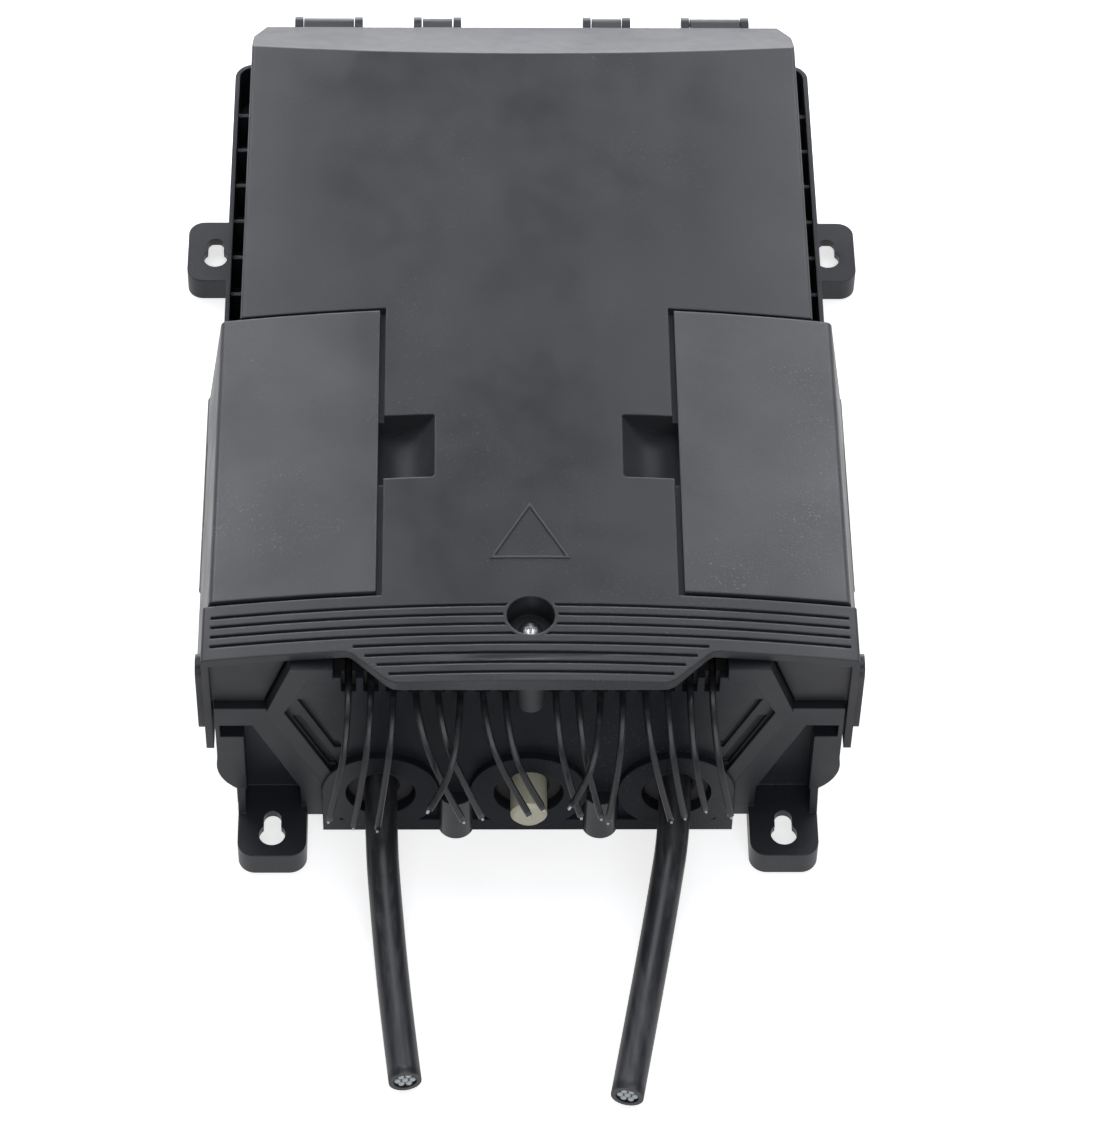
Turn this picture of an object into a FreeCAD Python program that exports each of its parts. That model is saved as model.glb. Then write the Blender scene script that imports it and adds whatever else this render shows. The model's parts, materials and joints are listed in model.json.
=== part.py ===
import FreeCAD, Part
import math
import os
import Sketcher

# Fibre distribution box lying on its back: +Z out of the cover, +Y towards the hinge end, millimetres.

doc = FreeCAD.newDocument("fibre_distribution_box")
sheet = doc.addObject("Spreadsheet::Sheet", "sizes")


class Size:
    """A length that carries its number and the sheet formula behind it."""

    def __init__(self, value, formula):
        self.value = float(value)
        self.formula = formula

    def __float__(self):
        return self.value

    def __neg__(self):
        return Size(-self.value, "(-%s)" % self.formula)

    def __add__(self, other):
        other = as_size(other)
        return Size(self.value + other.value, "(%s + %s)" % (self.formula, other.formula))

    def __radd__(self, other):
        return as_size(other) + self

    def __sub__(self, other):
        other = as_size(other)
        return Size(self.value - other.value, "(%s - %s)" % (self.formula, other.formula))

    def __rsub__(self, other):
        return as_size(other) - self

    def __mul__(self, other):
        other = as_size(other)
        return Size(self.value * other.value, "(%s * %s)" % (self.formula, other.formula))

    def __rmul__(self, other):
        return as_size(other) * self

    def __truediv__(self, other):
        other = as_size(other)
        return Size(self.value / other.value, "(%s / %s)" % (self.formula, other.formula))


def as_size(term):
    if isinstance(term, Size):
        return term
    return Size(term, "(%r)" % float(term))


def root(term):
    term = as_size(term)
    return Size(math.sqrt(term.value), "sqrt(%s)" % term.formula)


sheet_row = [0]


def size(alias, value):
    """Write one driving dimension to the sheet and hand it back as a Size."""
    sheet_row[0] += 1
    sheet.set("A%d" % sheet_row[0], alias)
    sheet.set("B%d" % sheet_row[0], str(value))
    sheet.setAlias("B%d" % sheet_row[0], alias)
    return Size(value, "sizes.%s" % alias)


# Driving dimensions: outer form
body_length = size("body_length", 320)
body_width = size("body_width", 201)
band_overhang = size("band_overhang", 8.5)
crown_height = size("crown_height", 100)
crown_radius = size("crown_radius", 730)
parting_height = size("parting_height", 60)
seal_gap = size("seal_gap", 0.6)
wall = size("wall", 3)
part_gap = size("part_gap", 0.6)
shoulder_radius = size("shoulder_radius", 1.5)
bite = size("bite", 1)
past = size("past", 5)
swing_gap = size("swing_gap", 0.4)

# Driving dimensions: cover
crease_setback = size("crease_setback", 42)
slope_drop = size("slope_drop", 28)
corner_cut_width = size("corner_cut_width", 4)
corner_cut_length = size("corner_cut_length", 16)
cover_setback = size("cover_setback", 3)
lip_reach = size("lip_reach", 11)
lip_thickness = size("lip_thickness", 5.4)
lip_half_width = size("lip_half_width", 46)
lip_slope_width = size("lip_slope_width", 14)
lip_ease = size("lip_ease", 3)
brow_depth = size("brow_depth", 3)
brow_thickness = size("brow_thickness", 3.6)
grip_proud = size("grip_proud", 2.4)
grip_length = size("grip_length", 9)
grip_setback = size("grip_setback", 3)
grip_drop = size("grip_drop", 9)
grip_height = size("grip_height", 34)
grip_corner = size("grip_corner", 4)
band_depth = size("band_depth", 22.5)
band_skirt_drop = size("band_skirt_drop", 17)
band_skirt_wall = size("band_skirt_wall", 2.6)
groove_pitch = size("groove_pitch", 3.97)
groove_width = size("groove_width", 1.3)
groove_depth = size("groove_depth", 1.1)
groove_start = size("groove_start", 20.5)
groove_margin = size("groove_margin", 3)
groove_count = 8
screw_setback = size("screw_setback", 15.9)
screw_recess_radius = size("screw_recess_radius", 8)
screw_ring_width = size("screw_ring_width", 1.2)
screw_seat_depth = size("screw_seat_depth", 10)
screw_hole_radius = size("screw_hole_radius", 2.3)
screw_boss_radius = size("screw_boss_radius", 5)
lip_peg_radius = size("lip_peg_radius", 4.8)
lip_peg_length = size("lip_peg_length", 19)

# Driving dimensions: latches
panel_length = size("panel_length", 125)
panel_width = size("panel_width", 55.6)
panel_overhang = size("panel_overhang", 6.5)
panel_thickness = size("panel_thickness", 3)
panel_side_gap = size("panel_side_gap", 2)
panel_end_gap = size("panel_end_gap", 1.2)
panel_front_gap = size("panel_front_gap", 2)
latch_flare = size("latch_flare", 6.2)
latch_foot_rise = size("latch_foot_rise", 4.3)
latch_pin_reach = size("latch_pin_reach", 10)
latch_pin_drop = size("latch_pin_drop", 15)
latch_pin_radius = size("latch_pin_radius", 1.25)
latch_knuckle_radius = size("latch_knuckle_radius", 3.5)
latch_knuckle_start = size("latch_knuckle_start", 20.5)
latch_knuckle_length = size("latch_knuckle_length", 38)
cover_knuckle_length = size("cover_knuckle_length", 24)
pin_clearance = size("pin_clearance", 0.05)
skirt_wall = size("skirt_wall", 3)
skirt_tail = size("skirt_tail", 3)
skirt_gap = size("skirt_gap", 0.7)
nose_width = size("nose_width", 24)
nose_thickness = size("nose_thickness", 3)
nose_drop = size("nose_drop", 4)
finger_length = size("finger_length", 28)
finger_reach = size("finger_reach", 20)
finger_depth = size("finger_depth", 13)
finger_corner = size("finger_corner", 2.5)

# Driving dimensions: base
block_depth = size("block_depth", 12)
block_foot_margin = size("block_foot_margin", 0.1)
block_foot_height = size("block_foot_height", 28)
block_waist_inset = size("block_waist_inset", 12.5)
block_waist_rise = size("block_waist_rise", 7.4)
block_top_inset = size("block_top_inset", 21.1)
block_top_drop = size("block_top_drop", 9)
face_rim = size("face_rim", 6)
face_recess = size("face_recess", 2)
ledge_reach = size("ledge_reach", 5.1)
ledge_rise = size("ledge_rise", 5.6)
ledge_thickness = size("ledge_thickness", 9.3)
flange_foot_reach = size("flange_foot_reach", 7.4)
flange_foot_height = size("flange_foot_height", 20.7)
flange_waist_reach = size("flange_waist_reach", 5)
web_width = size("web_width", 9.3)
web_bottom = size("web_bottom", 19.6)
web_corner_width = size("web_corner_width", 7)
web_corner_height = size("web_corner_height", 17.4)
web_slot_height = size("web_slot_height", 6.4)
web_slot_margin = size("web_slot_margin", 1.5)
rim_width = size("rim_width", 7)
rim_height = size("rim_height", 6)
gasket_width = size("gasket_width", 3)
gasket_height = size("gasket_height", 2.5)
gasket_inset = size("gasket_inset", 2.2)
rail_reach = size("rail_reach", 8.5)
rail_wall = size("rail_wall", 1.7)
rail_drop = size("rail_drop", 8)
rail_height = size("rail_height", 22)
rail_floor = size("rail_floor", 3)
rail_rib = size("rail_rib", 1.5)
rail_rib_pitch = size("rail_rib_pitch", 18.2)
rail_rib_drop = size("rail_rib_drop", 3)
ear_thickness = size("ear_thickness", 10)
ear_plate = size("ear_plate", 3)
ear_wall = size("ear_wall", 2.5)
ear_corner = size("ear_corner", 6)
ear_reach = size("ear_reach", 18)
lower_ear_inset = size("lower_ear_inset", 12.8)
lower_ear_width = size("lower_ear_width", 23.5)
upper_ear_reach = size("upper_ear_reach", 26.5)
upper_ear_width = size("upper_ear_width", 30)
upper_ear_start = size("upper_ear_start", 247)
upper_hole_inset = size("upper_hole_inset", 10.5)
keyhole_radius = size("keyhole_radius", 4.5)
keyhole_neck_radius = size("keyhole_neck_radius", 3)
keyhole_length = size("keyhole_length", 6.7)
lower_hole_setback = size("lower_hole_setback", 9.1)
hinge_reach = size("hinge_reach", 5.5)
hinge_rise = size("hinge_rise", 5)
hinge_ear_radius = size("hinge_ear_radius", 5)
hinge_ear_width = size("hinge_ear_width", 3)
hinge_knuckle_radius = size("hinge_knuckle_radius", 4.5)
hinge_pin_radius = size("hinge_pin_radius", 1.5)
hinge_ear_depth = size("hinge_ear_depth", 20)
hinge_inner_near = size("hinge_inner_near", 24.6)
hinge_inner_far = size("hinge_inner_far", 39.6)
hinge_outer_near = size("hinge_outer_near", 62)
hinge_outer_far = size("hinge_outer_far", 84.6)
hinge_pin_overhang = size("hinge_pin_overhang", 1.5)
block_wall = size("block_wall", 4)
slot_inset = size("slot_inset", 6.6)
slot_width = size("slot_width", 3)
slot_pitch = size("slot_pitch", 6)
slot_lift = size("slot_lift", 9)
slot_length = size("slot_length", 27)
slot_top_gap = size("slot_top_gap", 4)
slot_depth = size("slot_depth", 1.5)
rail_start_gap = size("rail_start_gap", 6)
rail_corner = size("rail_corner", 7)
gusset_wall = size("gusset_wall", 2.7)

# Driving dimensions: cable entries
port_spacing = size("port_spacing", 50.5)
port_height = size("port_height", 23)
port_ring_radius = size("port_ring_radius", 20)
port_ring_proud = size("port_ring_proud", 1)
port_hole_radius = size("port_hole_radius", 12)
port_post_spacing = size("port_post_spacing", 24.8)
port_post_radius = size("port_post_radius", 6.25)
port_post_height = size("port_post_height", 20)
port_post_setback = size("port_post_setback", 2.5)
gland_recess = size("gland_recess", 2.5)
gland_flange_radius = size("gland_flange_radius", 14.5)
gland_flange = size("gland_flange", 3)
gland_clearance = size("gland_clearance", 0.1)
feeder_radius = size("feeder_radius", 5.5)
cable_clearance = size("cable_clearance", 0.15)
plug_radius = size("plug_radius", 6.25)
plug_proud = size("plug_proud", 10)
plug_chamfer = size("plug_chamfer", 1.2)
plug_tail = size("plug_tail", 1.5)
drop_pitch = size("drop_pitch", 7.42)
drop_first = size("drop_first", 8.4)
drop_count = 16
drop_width = size("drop_width", 2.2)
drop_height = size("drop_height", 3)
drop_depth = size("drop_depth", 21)
comb_slot_width = size("comb_slot_width", 5)
comb_slot_drop = size("comb_slot_drop", 2.4)
comb_tooth_rise = size("comb_tooth_rise", 5)
comb_margin = size("comb_margin", 2.5)
seal_length = size("seal_length", 5)
seal_slit_gap = size("seal_slit_gap", 0.15)
seal_drop = size("seal_drop", 5.6)
shelf_thickness = size("shelf_thickness", 3)

# Driving dimensions: inside
post_radius = size("post_radius", 3.5)
insert_radius = size("insert_radius", 3)
insert_length = size("insert_length", 10)
screw_post_rise = size("screw_post_rise", 2)
screw_shank_radius = size("screw_shank_radius", 1.95)
screw_head_radius = size("screw_head_radius", 4)
screw_head_height = size("screw_head_height", 2.4)
screw_rim_height = size("screw_rim_height", 0.85)
cross_half = size("cross_half", 2.2)
cross_slot = size("cross_slot", 0.5)
cross_depth = size("cross_depth", 1.45)
screw_reach = size("screw_reach", 8.5)
washer_thickness = size("washer_thickness", 0.8)
adapter_setback = size("adapter_setback", 55)
adapter_plate = size("adapter_plate", 2)
adapter_plate_half = size("adapter_plate_half", 70)
adapter_plate_foot = size("adapter_plate_foot", 14)
adapter_plate_margin = size("adapter_plate_margin", 2)
adapter_width = size("adapter_width", 6.4)
adapter_height = size("adapter_height", 9.6)
adapter_length = size("adapter_length", 22)
adapter_flange = size("adapter_flange", 1.6)
adapter_flange_height = size("adapter_flange_height", 14)
adapter_wall = size("adapter_wall", 1)
connector_width = size("connector_width", 4.2)
connector_height = size("connector_height", 6.6)
connector_length = size("connector_length", 26)
connector_depth = size("connector_depth", 8)
tray_half = size("tray_half", 78)
tray_setback = size("tray_setback", 96)
tray_length = size("tray_length", 150)
tray_level = size("tray_level", 40)
tray_height = size("tray_height", 11)
tray_wall = size("tray_wall", 2)
tray_corner = size("tray_corner", 36)
tray_post_half = size("tray_post_half", 45)
tray_post_inset = size("tray_post_inset", 22)
lid_thickness = size("lid_thickness", 1.5)
holder_length = size("holder_length", 44)
holder_width = size("holder_width", 26)
holder_height = size("holder_height", 7)
holder_slots = 6
splitter_length = size("splitter_length", 60)
splitter_width = size("splitter_width", 12)
splitter_height = size("splitter_height", 4)
spool_radius = size("spool_radius", 18)
spool_wall = size("spool_wall", 1.6)
clamp_length = size("clamp_length", 8)
clamp_width = size("clamp_width", 32)
clamp_wall = size("clamp_wall", 3)
clamp_setback = size("clamp_setback", 10.5)
clamp_screw_radius = size("clamp_screw_radius", 1.5)
clamp_screw_head = size("clamp_screw_head", 3)
clamp_screw_rise = size("clamp_screw_rise", 2.1)
clamp_screw_ease = size("clamp_screw_ease", 0.6)
clamp_screw_offset = size("clamp_screw_offset", 11.5)

# Places worked out from the driving dimensions
overall_length = ear_reach + body_length + hinge_reach + hinge_ear_radius
ear_front = -overall_length / 2
front = ear_front + ear_reach
back = front + body_length
body_half = body_width / 2
front_half = body_half + band_overhang
slope_end_height = crown_height - slope_drop
cover_bottom = parting_height + seal_gap
band_skirt_bottom = cover_bottom - band_skirt_drop
screw_seat_height = crown_height - screw_seat_depth
lip_peg_bottom = crown_height - lip_peg_length
panel_outer = body_half + panel_overhang
panel_inner = panel_outer - panel_width
latch_pin_out = body_half + latch_pin_reach
latch_pin_height = parting_height - latch_pin_drop
latch_foot_height = latch_pin_height + latch_foot_rise
skirt_bottom = latch_pin_height - skirt_tail
nose_high = parting_height - nose_drop
nose_low = nose_high - nose_thickness
block_foot_half = port_spacing + port_ring_radius + block_foot_margin
block_waist_half = body_half - block_waist_inset
block_top_half = body_half - block_top_inset
block_top_height = crown_height - block_top_drop
block_waist_height = parting_height + block_waist_rise
slot_high = block_waist_height - slot_top_gap
slot_low = slot_high - slot_length
ledge_half = body_half + ledge_reach
ledge_high = parting_height + ledge_rise
ledge_low = ledge_high - ledge_thickness
rail_half = body_half + rail_reach
rail_top = parting_height - rail_drop
rail_bottom = rail_top - rail_height
lower_ear_center = body_half - lower_ear_inset
upper_ear_half = body_half + upper_ear_reach
hinge_height = parting_height + hinge_rise
hinge_ear_foot = hinge_height - hinge_ear_depth
drop_level = crown_height - drop_depth
comb_slot_bottom = drop_level - comb_slot_drop
comb_tooth_top = drop_level + comb_tooth_rise
screw_post_top = parting_height + screw_post_rise
screw_tip_height = screw_post_top - screw_reach
tub_front = front + block_depth
cover_front = front + cover_setback
lip_front = front - lip_reach
band_back = cover_front + band_depth
panel_low = band_back + panel_front_gap
panel_high = panel_low + panel_length
panel_middle = panel_low + panel_length / 2
crease = back - crease_setback
hinge_y = back + hinge_reach
screw_y = front + screw_setback
face_wall = wall + face_recess
face_inner = front + face_wall
comb_half = drop_first + drop_pitch * (drop_count // 2 - 1) + comb_slot_width / 2 + comb_margin
rail_start = panel_high + rail_start_gap
QUARTER_ARC = 1 - math.sqrt(0.5)

PLANES = {
    "XY": (FreeCAD.Rotation(), "z"),
    "XZ": (FreeCAD.Rotation(FreeCAD.Vector(1, 0, 0), 90), "y"),
    "YZ": (FreeCAD.Rotation(FreeCAD.Vector(1, 1, 1), 120), "x"),
}
AXES = {
    "x": (FreeCAD.Rotation(FreeCAD.Vector(0, 1, 0), 90), "xyz"),
    "y": (FreeCAD.Rotation(FreeCAD.Vector(1, 0, 0), -90), "yxz"),
    "z": (FreeCAD.Rotation(), "zxy"),
}


def bind(target, path, value):
    """Drive one property of an object from the sheet."""
    target.setExpression(path, as_size(value).formula)


def flat(point):
    return FreeCAD.Vector(float(point[0]), float(point[1]), 0)


def crown(across, below=0):
    """Height of the crowned surface, or of one a given depth under it, at a distance from the middle."""
    reach = crown_radius - below
    return crown_height - crown_radius + root(reach * reach - as_size(across) * across)


def mirrored(loop):
    """The same outline on the other side of the middle plane."""
    swapped = []
    for point in loop:
        turned = [value if place % 2 else -as_size(value) for place, value in enumerate(point)]
        swapped.append(tuple(turned))
    return swapped


def handed(way, loop):
    """The outline on the right side, or mirrored for the left."""
    return loop if way > 0 else mirrored(loop)


def draw(sketch, loops):
    """Draw closed loops; a point with four values is reached by an arc through its last two."""
    rules = []
    drives = []

    def hold(geometry, position, point):
        for kind, value in (("DistanceX", point[0]), ("DistanceY", point[1])):
            drives.append((len(rules), as_size(value).formula))
            rules.append(Sketcher.Constraint(kind, -1, 1, geometry, position, float(value)))

    for loop in loops:
        ends = []
        for place, point in enumerate(loop):
            before = loop[place - 1]
            if len(point) == 2:
                edge = sketch.addGeometry(Part.LineSegment(flat(before), flat(point)))
                ends.append((edge, 1, 2))
                continue
            first, middle, last = flat(before), flat(point[2:]), flat(point)
            turn = (middle - first).cross(last - middle).z
            if turn > 0:
                edge = sketch.addGeometry(Part.Arc(first, middle, last))
                ends.append((edge, 1, 2))
            else:
                edge = sketch.addGeometry(Part.Arc(last, middle, first))
                ends.append((edge, 2, 1))
            guide = sketch.addGeometry(Part.Point(middle), True)
            rules.append(Sketcher.Constraint("PointOnObject", guide, 1, edge))
            hold(guide, 1, point[2:])
        for place, point in enumerate(loop):
            edge, start, end = ends[place]
            following, next_start, next_end = ends[(place + 1) % len(loop)]
            rules.append(Sketcher.Constraint("Coincident", edge, end, following, next_start))
            hold(edge, end, point)
    numbers = sketch.addConstraint(rules)
    for place, formula in drives:
        sketch.setExpression("Constraints[%d]" % numbers[place], formula)


def prism(name, plane, low, high, *loops):
    """Extrude sketched loops between two levels of the axis across the plane."""
    rotation, axis = PLANES[plane]
    start = as_size(high if plane == "XZ" else low)
    sketch = doc.addObject("Sketcher::SketchObject", name + "_sketch")
    sketch.Placement = FreeCAD.Placement(FreeCAD.Vector(0, 0, 0), rotation)
    bind(sketch, "Placement.Base." + axis, start)
    draw(sketch, loops)
    solid = doc.addObject("Part::Extrusion", name)
    solid.Base = sketch
    solid.DirMode = "Normal"
    solid.Solid = True
    bind(solid, "LengthFwd", as_size(high) - low)
    return solid


def box(name, x, y, z):
    solid = doc.addObject("Part::Box", name)
    for side, axis, span in (("Length", "x", x), ("Width", "y", y), ("Height", "z", z)):
        bind(solid, side, as_size(span[1]) - span[0])
        bind(solid, "Placement.Base." + axis, span[0])
    return solid


def cylinder(name, axis, center, span, radius, end_radius=None):
    """A cylinder, or a cone with two radii, along an axis; center holds the other two coordinates."""
    rotation, order = AXES[axis]
    solid = doc.addObject("Part::Cylinder" if end_radius is None else "Part::Cone", name)
    solid.Placement = FreeCAD.Placement(FreeCAD.Vector(0, 0, 0), rotation)
    for letter, value in zip(order, (span[0],) + tuple(center)):
        bind(solid, "Placement.Base." + letter, value)
    bind(solid, "Height", as_size(span[1]) - span[0])
    if end_radius is None:
        bind(solid, "Radius", radius)
    else:
        bind(solid, "Radius1", radius)
        bind(solid, "Radius2", end_radius)
    return solid


def fuse(name, solids):
    joined = doc.addObject("Part::MultiFuse", name)
    joined.Shapes = list(solids)
    joined.Refine = True
    return joined


def common(name, first, second):
    shared = doc.addObject("Part::Common", name)
    shared.Base = first
    shared.Tool = second
    return shared


def cut(name, solid, tools):
    left = doc.addObject("Part::Cut", name)
    left.Base = solid
    left.Tool = tools[0] if len(tools) == 1 else fuse(name + "_tools", tools)
    left.Refine = True
    return left


def group(name, solids):
    """Separate like solids that share one node."""
    together = doc.addObject("Part::Compound", name)
    together.Links = list(solids)
    return together


def rounded(x0, y0, x1, y1, radius):
    """A rectangle with four quarter-round corners."""
    ease = radius * QUARTER_ARC
    return [
        (x0 + radius, y0, x0 + ease, y0 + ease), (x1 - radius, y0),
        (x1, y0 + radius, x1 - ease, y0 + ease), (x1, y1 - radius),
        (x1 - radius, y1, x1 - ease, y1 - ease), (x0 + radius, y1),
        (x0, y1 - radius, x0 + ease, y1 - ease), (x0, y0 + radius),
    ]


parts = []


def keep(solid, label):
    solid.Label = label
    parts.append(solid)


SIDES = (("left", -1), ("right", 1))


def across(side, low, high):
    """A span on one side of the middle plane, given as distances from it."""
    if side > 0:
        return (low, high)
    return (-as_size(high), -as_size(low))


def keyhole(name, center_x, wide_y):
    """A round hole with a narrower slot towards the hinge end, through an ear."""
    neck_y = wide_y + keyhole_length
    span = (-past, ear_thickness + past)
    return [
        cylinder(name + "_round", "z", (center_x, wide_y), span, keyhole_radius),
        cylinder(name + "_neck", "z", (center_x, neck_y), span, keyhole_neck_radius),
        box(name + "_slot", (center_x - keyhole_neck_radius, center_x + keyhole_neck_radius),
            (wide_y, neck_y), span),
    ]


def block_outline(inset, bottom, top):
    """Outline of the port block, drawn in by the given width at its sides."""
    right = [
        (block_foot_half - inset, bottom), (block_foot_half - inset, block_foot_height),
        (block_waist_half - inset, block_waist_height), (block_top_half - inset, top),
    ]
    left = [(-x, z) for x, z in reversed(right)]
    return right + left


def tapered(half, near, far):
    """Plan of the box between two ends, with the hinge end's corners cut to a taper."""
    right = [(half, near), (half, far - corner_cut_length), (half - corner_cut_width, far)]
    return right + [(-x, y) for x, y in reversed(right)]


def drop_places():
    """Middle lines of the drop cables from left to right."""
    half = drop_count // 2
    outwards = [drop_first + drop_pitch * step for step in range(half)]
    return [-place for place in reversed(outwards)] + outwards


# Base: tub, port block, ledges and webs
tub = prism("base_tub", "XY", 0, parting_height, tapered(body_half, tub_front, back))
block = prism("base_block", "XZ", front, tub_front + wall, block_outline(0, 0, block_top_height))
base_solids = [tub, block]
base_cuts = [
    prism("base_cavity", "XY", wall, parting_height - rim_height,
          tapered(body_half - wall, tub_front + wall, back - wall)),
    prism("base_mouth", "XY", wall, parting_height + past,
          tapered(body_half - rim_width, tub_front + rim_width, back - rim_width)),
    prism("base_block_cavity", "XZ", face_inner, tub_front + rim_width + bite,
          block_outline(block_wall, wall, block_top_height + past)),
    prism("base_face_recess", "XZ", front - past, front + face_recess,
          block_outline(face_rim, face_rim, block_top_height - face_rim)),
    box("base_comb_window", (-comb_half, comb_half), (front - past, face_inner + bite),
        (comb_tooth_top, block_top_height + past)),
]
for side, way in SIDES:
    flange_foot = block_foot_half + flange_foot_reach
    flange = [
        (block_foot_half - wall, ear_thickness / 2), (flange_foot, ear_thickness / 2),
        (flange_foot, flange_foot_height), (block_waist_half + flange_waist_reach, ledge_low),
        (ledge_half, ledge_low), (ledge_half, ledge_high), (block_waist_half - wall, ledge_high),
        (block_foot_half - wall, block_foot_height),
    ]
    base_solids.append(prism("base_flange_" + side, "XZ", cover_front, tub_front + bite, handed(way, flange)))
    web_inner = ledge_half - web_width
    web = [
        (web_inner, web_bottom), (ledge_half - web_corner_width, web_bottom),
        (ledge_half, web_bottom + web_corner_height, ledge_half - web_corner_width * QUARTER_ARC,
         web_bottom + web_corner_height * QUARTER_ARC),
        (ledge_half, ledge_low + bite), (web_inner, ledge_low + bite),
    ]
    base_solids.append(prism("base_web_" + side, "XZ", cover_front, tub_front + bite, handed(way, web)))
    base_cuts.append(box("base_web_slot_" + side, across(way, web_inner - bite, ledge_half - web_slot_margin),
                         (front, tub_front), (ledge_low - web_slot_height, ledge_low)))
    diagonal = (block_waist_half - block_foot_half) / (block_waist_height - block_foot_height)
    for number in range(2):
        lift = slot_lift * number
        low, high = slot_low + lift, slot_high + lift
        low_x = block_foot_half + diagonal * (low - block_foot_height) - slot_inset - slot_pitch * number
        high_x = block_foot_half + diagonal * (high - block_foot_height) - slot_inset - slot_pitch * number
        slot = [(low_x, low), (high_x, high), (high_x - slot_width, high), (low_x - slot_width, low)]
        base_cuts.append(prism("base_face_slot_%s_%d" % (side, number), "XZ", front,
                               front + face_recess + slot_depth,
                               handed(way, slot)))

# Base: mounting ears
for side, way in SIDES:
    lower = across(way, lower_ear_center - lower_ear_width / 2, lower_ear_center + lower_ear_width / 2)
    base_solids.append(prism("base_lower_ear_" + side, "XY", 0, ear_thickness,
                             rounded(lower[0], ear_front, lower[1], tub_front + ear_corner, ear_corner)))
    gusset_outer = lower_ear_center + lower_ear_width / 2
    gusset = [(tub_front + bite, ear_thickness / 2), (front, ear_thickness / 2), (front, ear_thickness),
              (cover_front, web_bottom + bite), (tub_front + bite, web_bottom + bite)]
    gusset_span = across(way, gusset_outer - gusset_wall, gusset_outer)
    base_solids.append(prism("base_gusset_" + side, "YZ", gusset_span[0], gusset_span[1], gusset))
    base_cuts += keyhole("base_lower_keyhole_" + side, lower_ear_center * way, ear_front + lower_hole_setback)
    base_cuts.append(prism("base_lower_pocket_" + side, "XY", -bite, ear_thickness - ear_plate,
                           rounded(lower[0] + ear_wall, ear_front + ear_wall, lower[1] - ear_wall,
                                   tub_front - ear_wall, ear_corner - ear_wall)))
    upper = across(way, body_half - ear_corner, upper_ear_half)
    upper_start = front + upper_ear_start
    pocket = across(way, body_half + ear_wall, upper_ear_half - ear_wall)
    base_cuts.append(prism("base_upper_pocket_" + side, "XY", -bite, ear_thickness - ear_plate,
                           rounded(pocket[0], upper_start + ear_wall, pocket[1],
                                   upper_start + upper_ear_width - ear_wall, ear_corner - ear_wall)))
    base_solids.append(prism("base_upper_ear_" + side, "XY", 0, ear_thickness,
                             rounded(upper[0], upper_start, upper[1], upper_start + upper_ear_width,
                                     ear_corner)))
    base_cuts += keyhole("base_upper_keyhole_" + side, (upper_ear_half - upper_hole_inset) * way,
                         upper_start + upper_ear_width / 2 - keyhole_length / 2)

# Base: ribbed rails beside the upper half of the cover
rail_ribs = []
rail_rib_count = int(float(back - rail_corner - rail_start) / float(rail_rib_pitch))
for side, way in SIDES:
    rail_corner_ease = rail_corner * QUARTER_ARC
    rail = [
        (body_half - wall, rail_start), (rail_half, rail_start), (rail_half, back - rail_corner),
        (rail_half - rail_corner, back, rail_half - rail_corner_ease, back - rail_corner_ease),
        (body_half - wall, back),
    ]
    base_solids.append(prism("base_rail_" + side, "XY", rail_bottom, rail_top, handed(way, rail)))
    channel_half = rail_half - rail_wall
    channel_end = back - rail_wall
    channel_corner = rail_corner - rail_wall
    channel_ease = channel_corner * QUARTER_ARC
    channel = [
        (body_half, rail_start + rail_wall), (channel_half, rail_start + rail_wall),
        (channel_half, channel_end - channel_corner),
        (channel_half - channel_corner, channel_end, channel_half - channel_ease, channel_end - channel_ease),
        (body_half, channel_end),
    ]
    base_cuts.append(prism("base_channel_" + side, "XY", rail_bottom + rail_floor, rail_top + past,
                           handed(way, channel)))
    for number in range(rail_rib_count):
        rib_y = rail_start + rail_rib_pitch * (number + 0.5)
        rail_ribs.append(box("base_rail_rib_%s_%d" % (side, number),
                             across(way, body_half - bite, rail_half - rail_wall / 2),
                             (rib_y, rib_y + rail_rib),
                             (rail_bottom + rail_floor / 2, rail_top - rail_rib_drop)))

# Base: hinge ears at the far end
hinge_ears = [hinge_inner_near, hinge_inner_far, hinge_outer_near, hinge_outer_far]
hinge_ear = [
    (back - wall / 2, hinge_ear_foot), (back + bite, hinge_ear_foot),
    (hinge_y + hinge_ear_radius, hinge_height),
    (hinge_y - hinge_ear_radius, hinge_height, hinge_y, hinge_height + hinge_ear_radius),
    (hinge_y - hinge_ear_radius, parting_height), (back - wall / 2, parting_height),
]
for number, place in enumerate(hinge_ears):
    for side, way in SIDES:
        span = across(way, place - hinge_ear_width / 2, place + hinge_ear_width / 2)
        base_solids.append(prism("base_hinge_ear_%s_%d" % (side, number), "YZ", span[0], span[1], hinge_ear))
hinge_hole_half = hinge_outer_far + hinge_ear_width
base_cuts.append(cylinder("base_hinge_hole", "x", (hinge_y, hinge_height),
                          (-hinge_hole_half, hinge_hole_half),
                          hinge_pin_radius + pin_clearance))

# Base: port rings, posts, comb slots and the seal's shelf
port_places = [("left", -port_spacing), ("centre", port_spacing * 0), ("right", port_spacing)]
late_solids = list(rail_ribs)
late_cuts = []
for side, place in port_places:
    late_solids.append(cylinder("base_port_ring_" + side, "y", (place, port_height),
                                (front - port_ring_proud, face_inner), port_ring_radius))
    late_cuts.append(cylinder("base_port_hole_" + side, "y", (place, port_height),
                              (front - past, face_inner + past), port_hole_radius))
for side, way in SIDES:
    late_solids.append(cylinder("base_port_post_" + side, "z",
                                (port_post_spacing * way, front + port_post_setback),
                                (0, port_post_height), port_post_radius))
for number, place in enumerate(drop_places()):
    late_cuts.append(box("base_comb_slot_%d" % number,
                         (place - comb_slot_width / 2, place + comb_slot_width / 2),
                         (front - past, face_inner + bite), (comb_slot_bottom, comb_tooth_top + bite)))
seal_bottom = comb_slot_bottom - seal_drop
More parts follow.
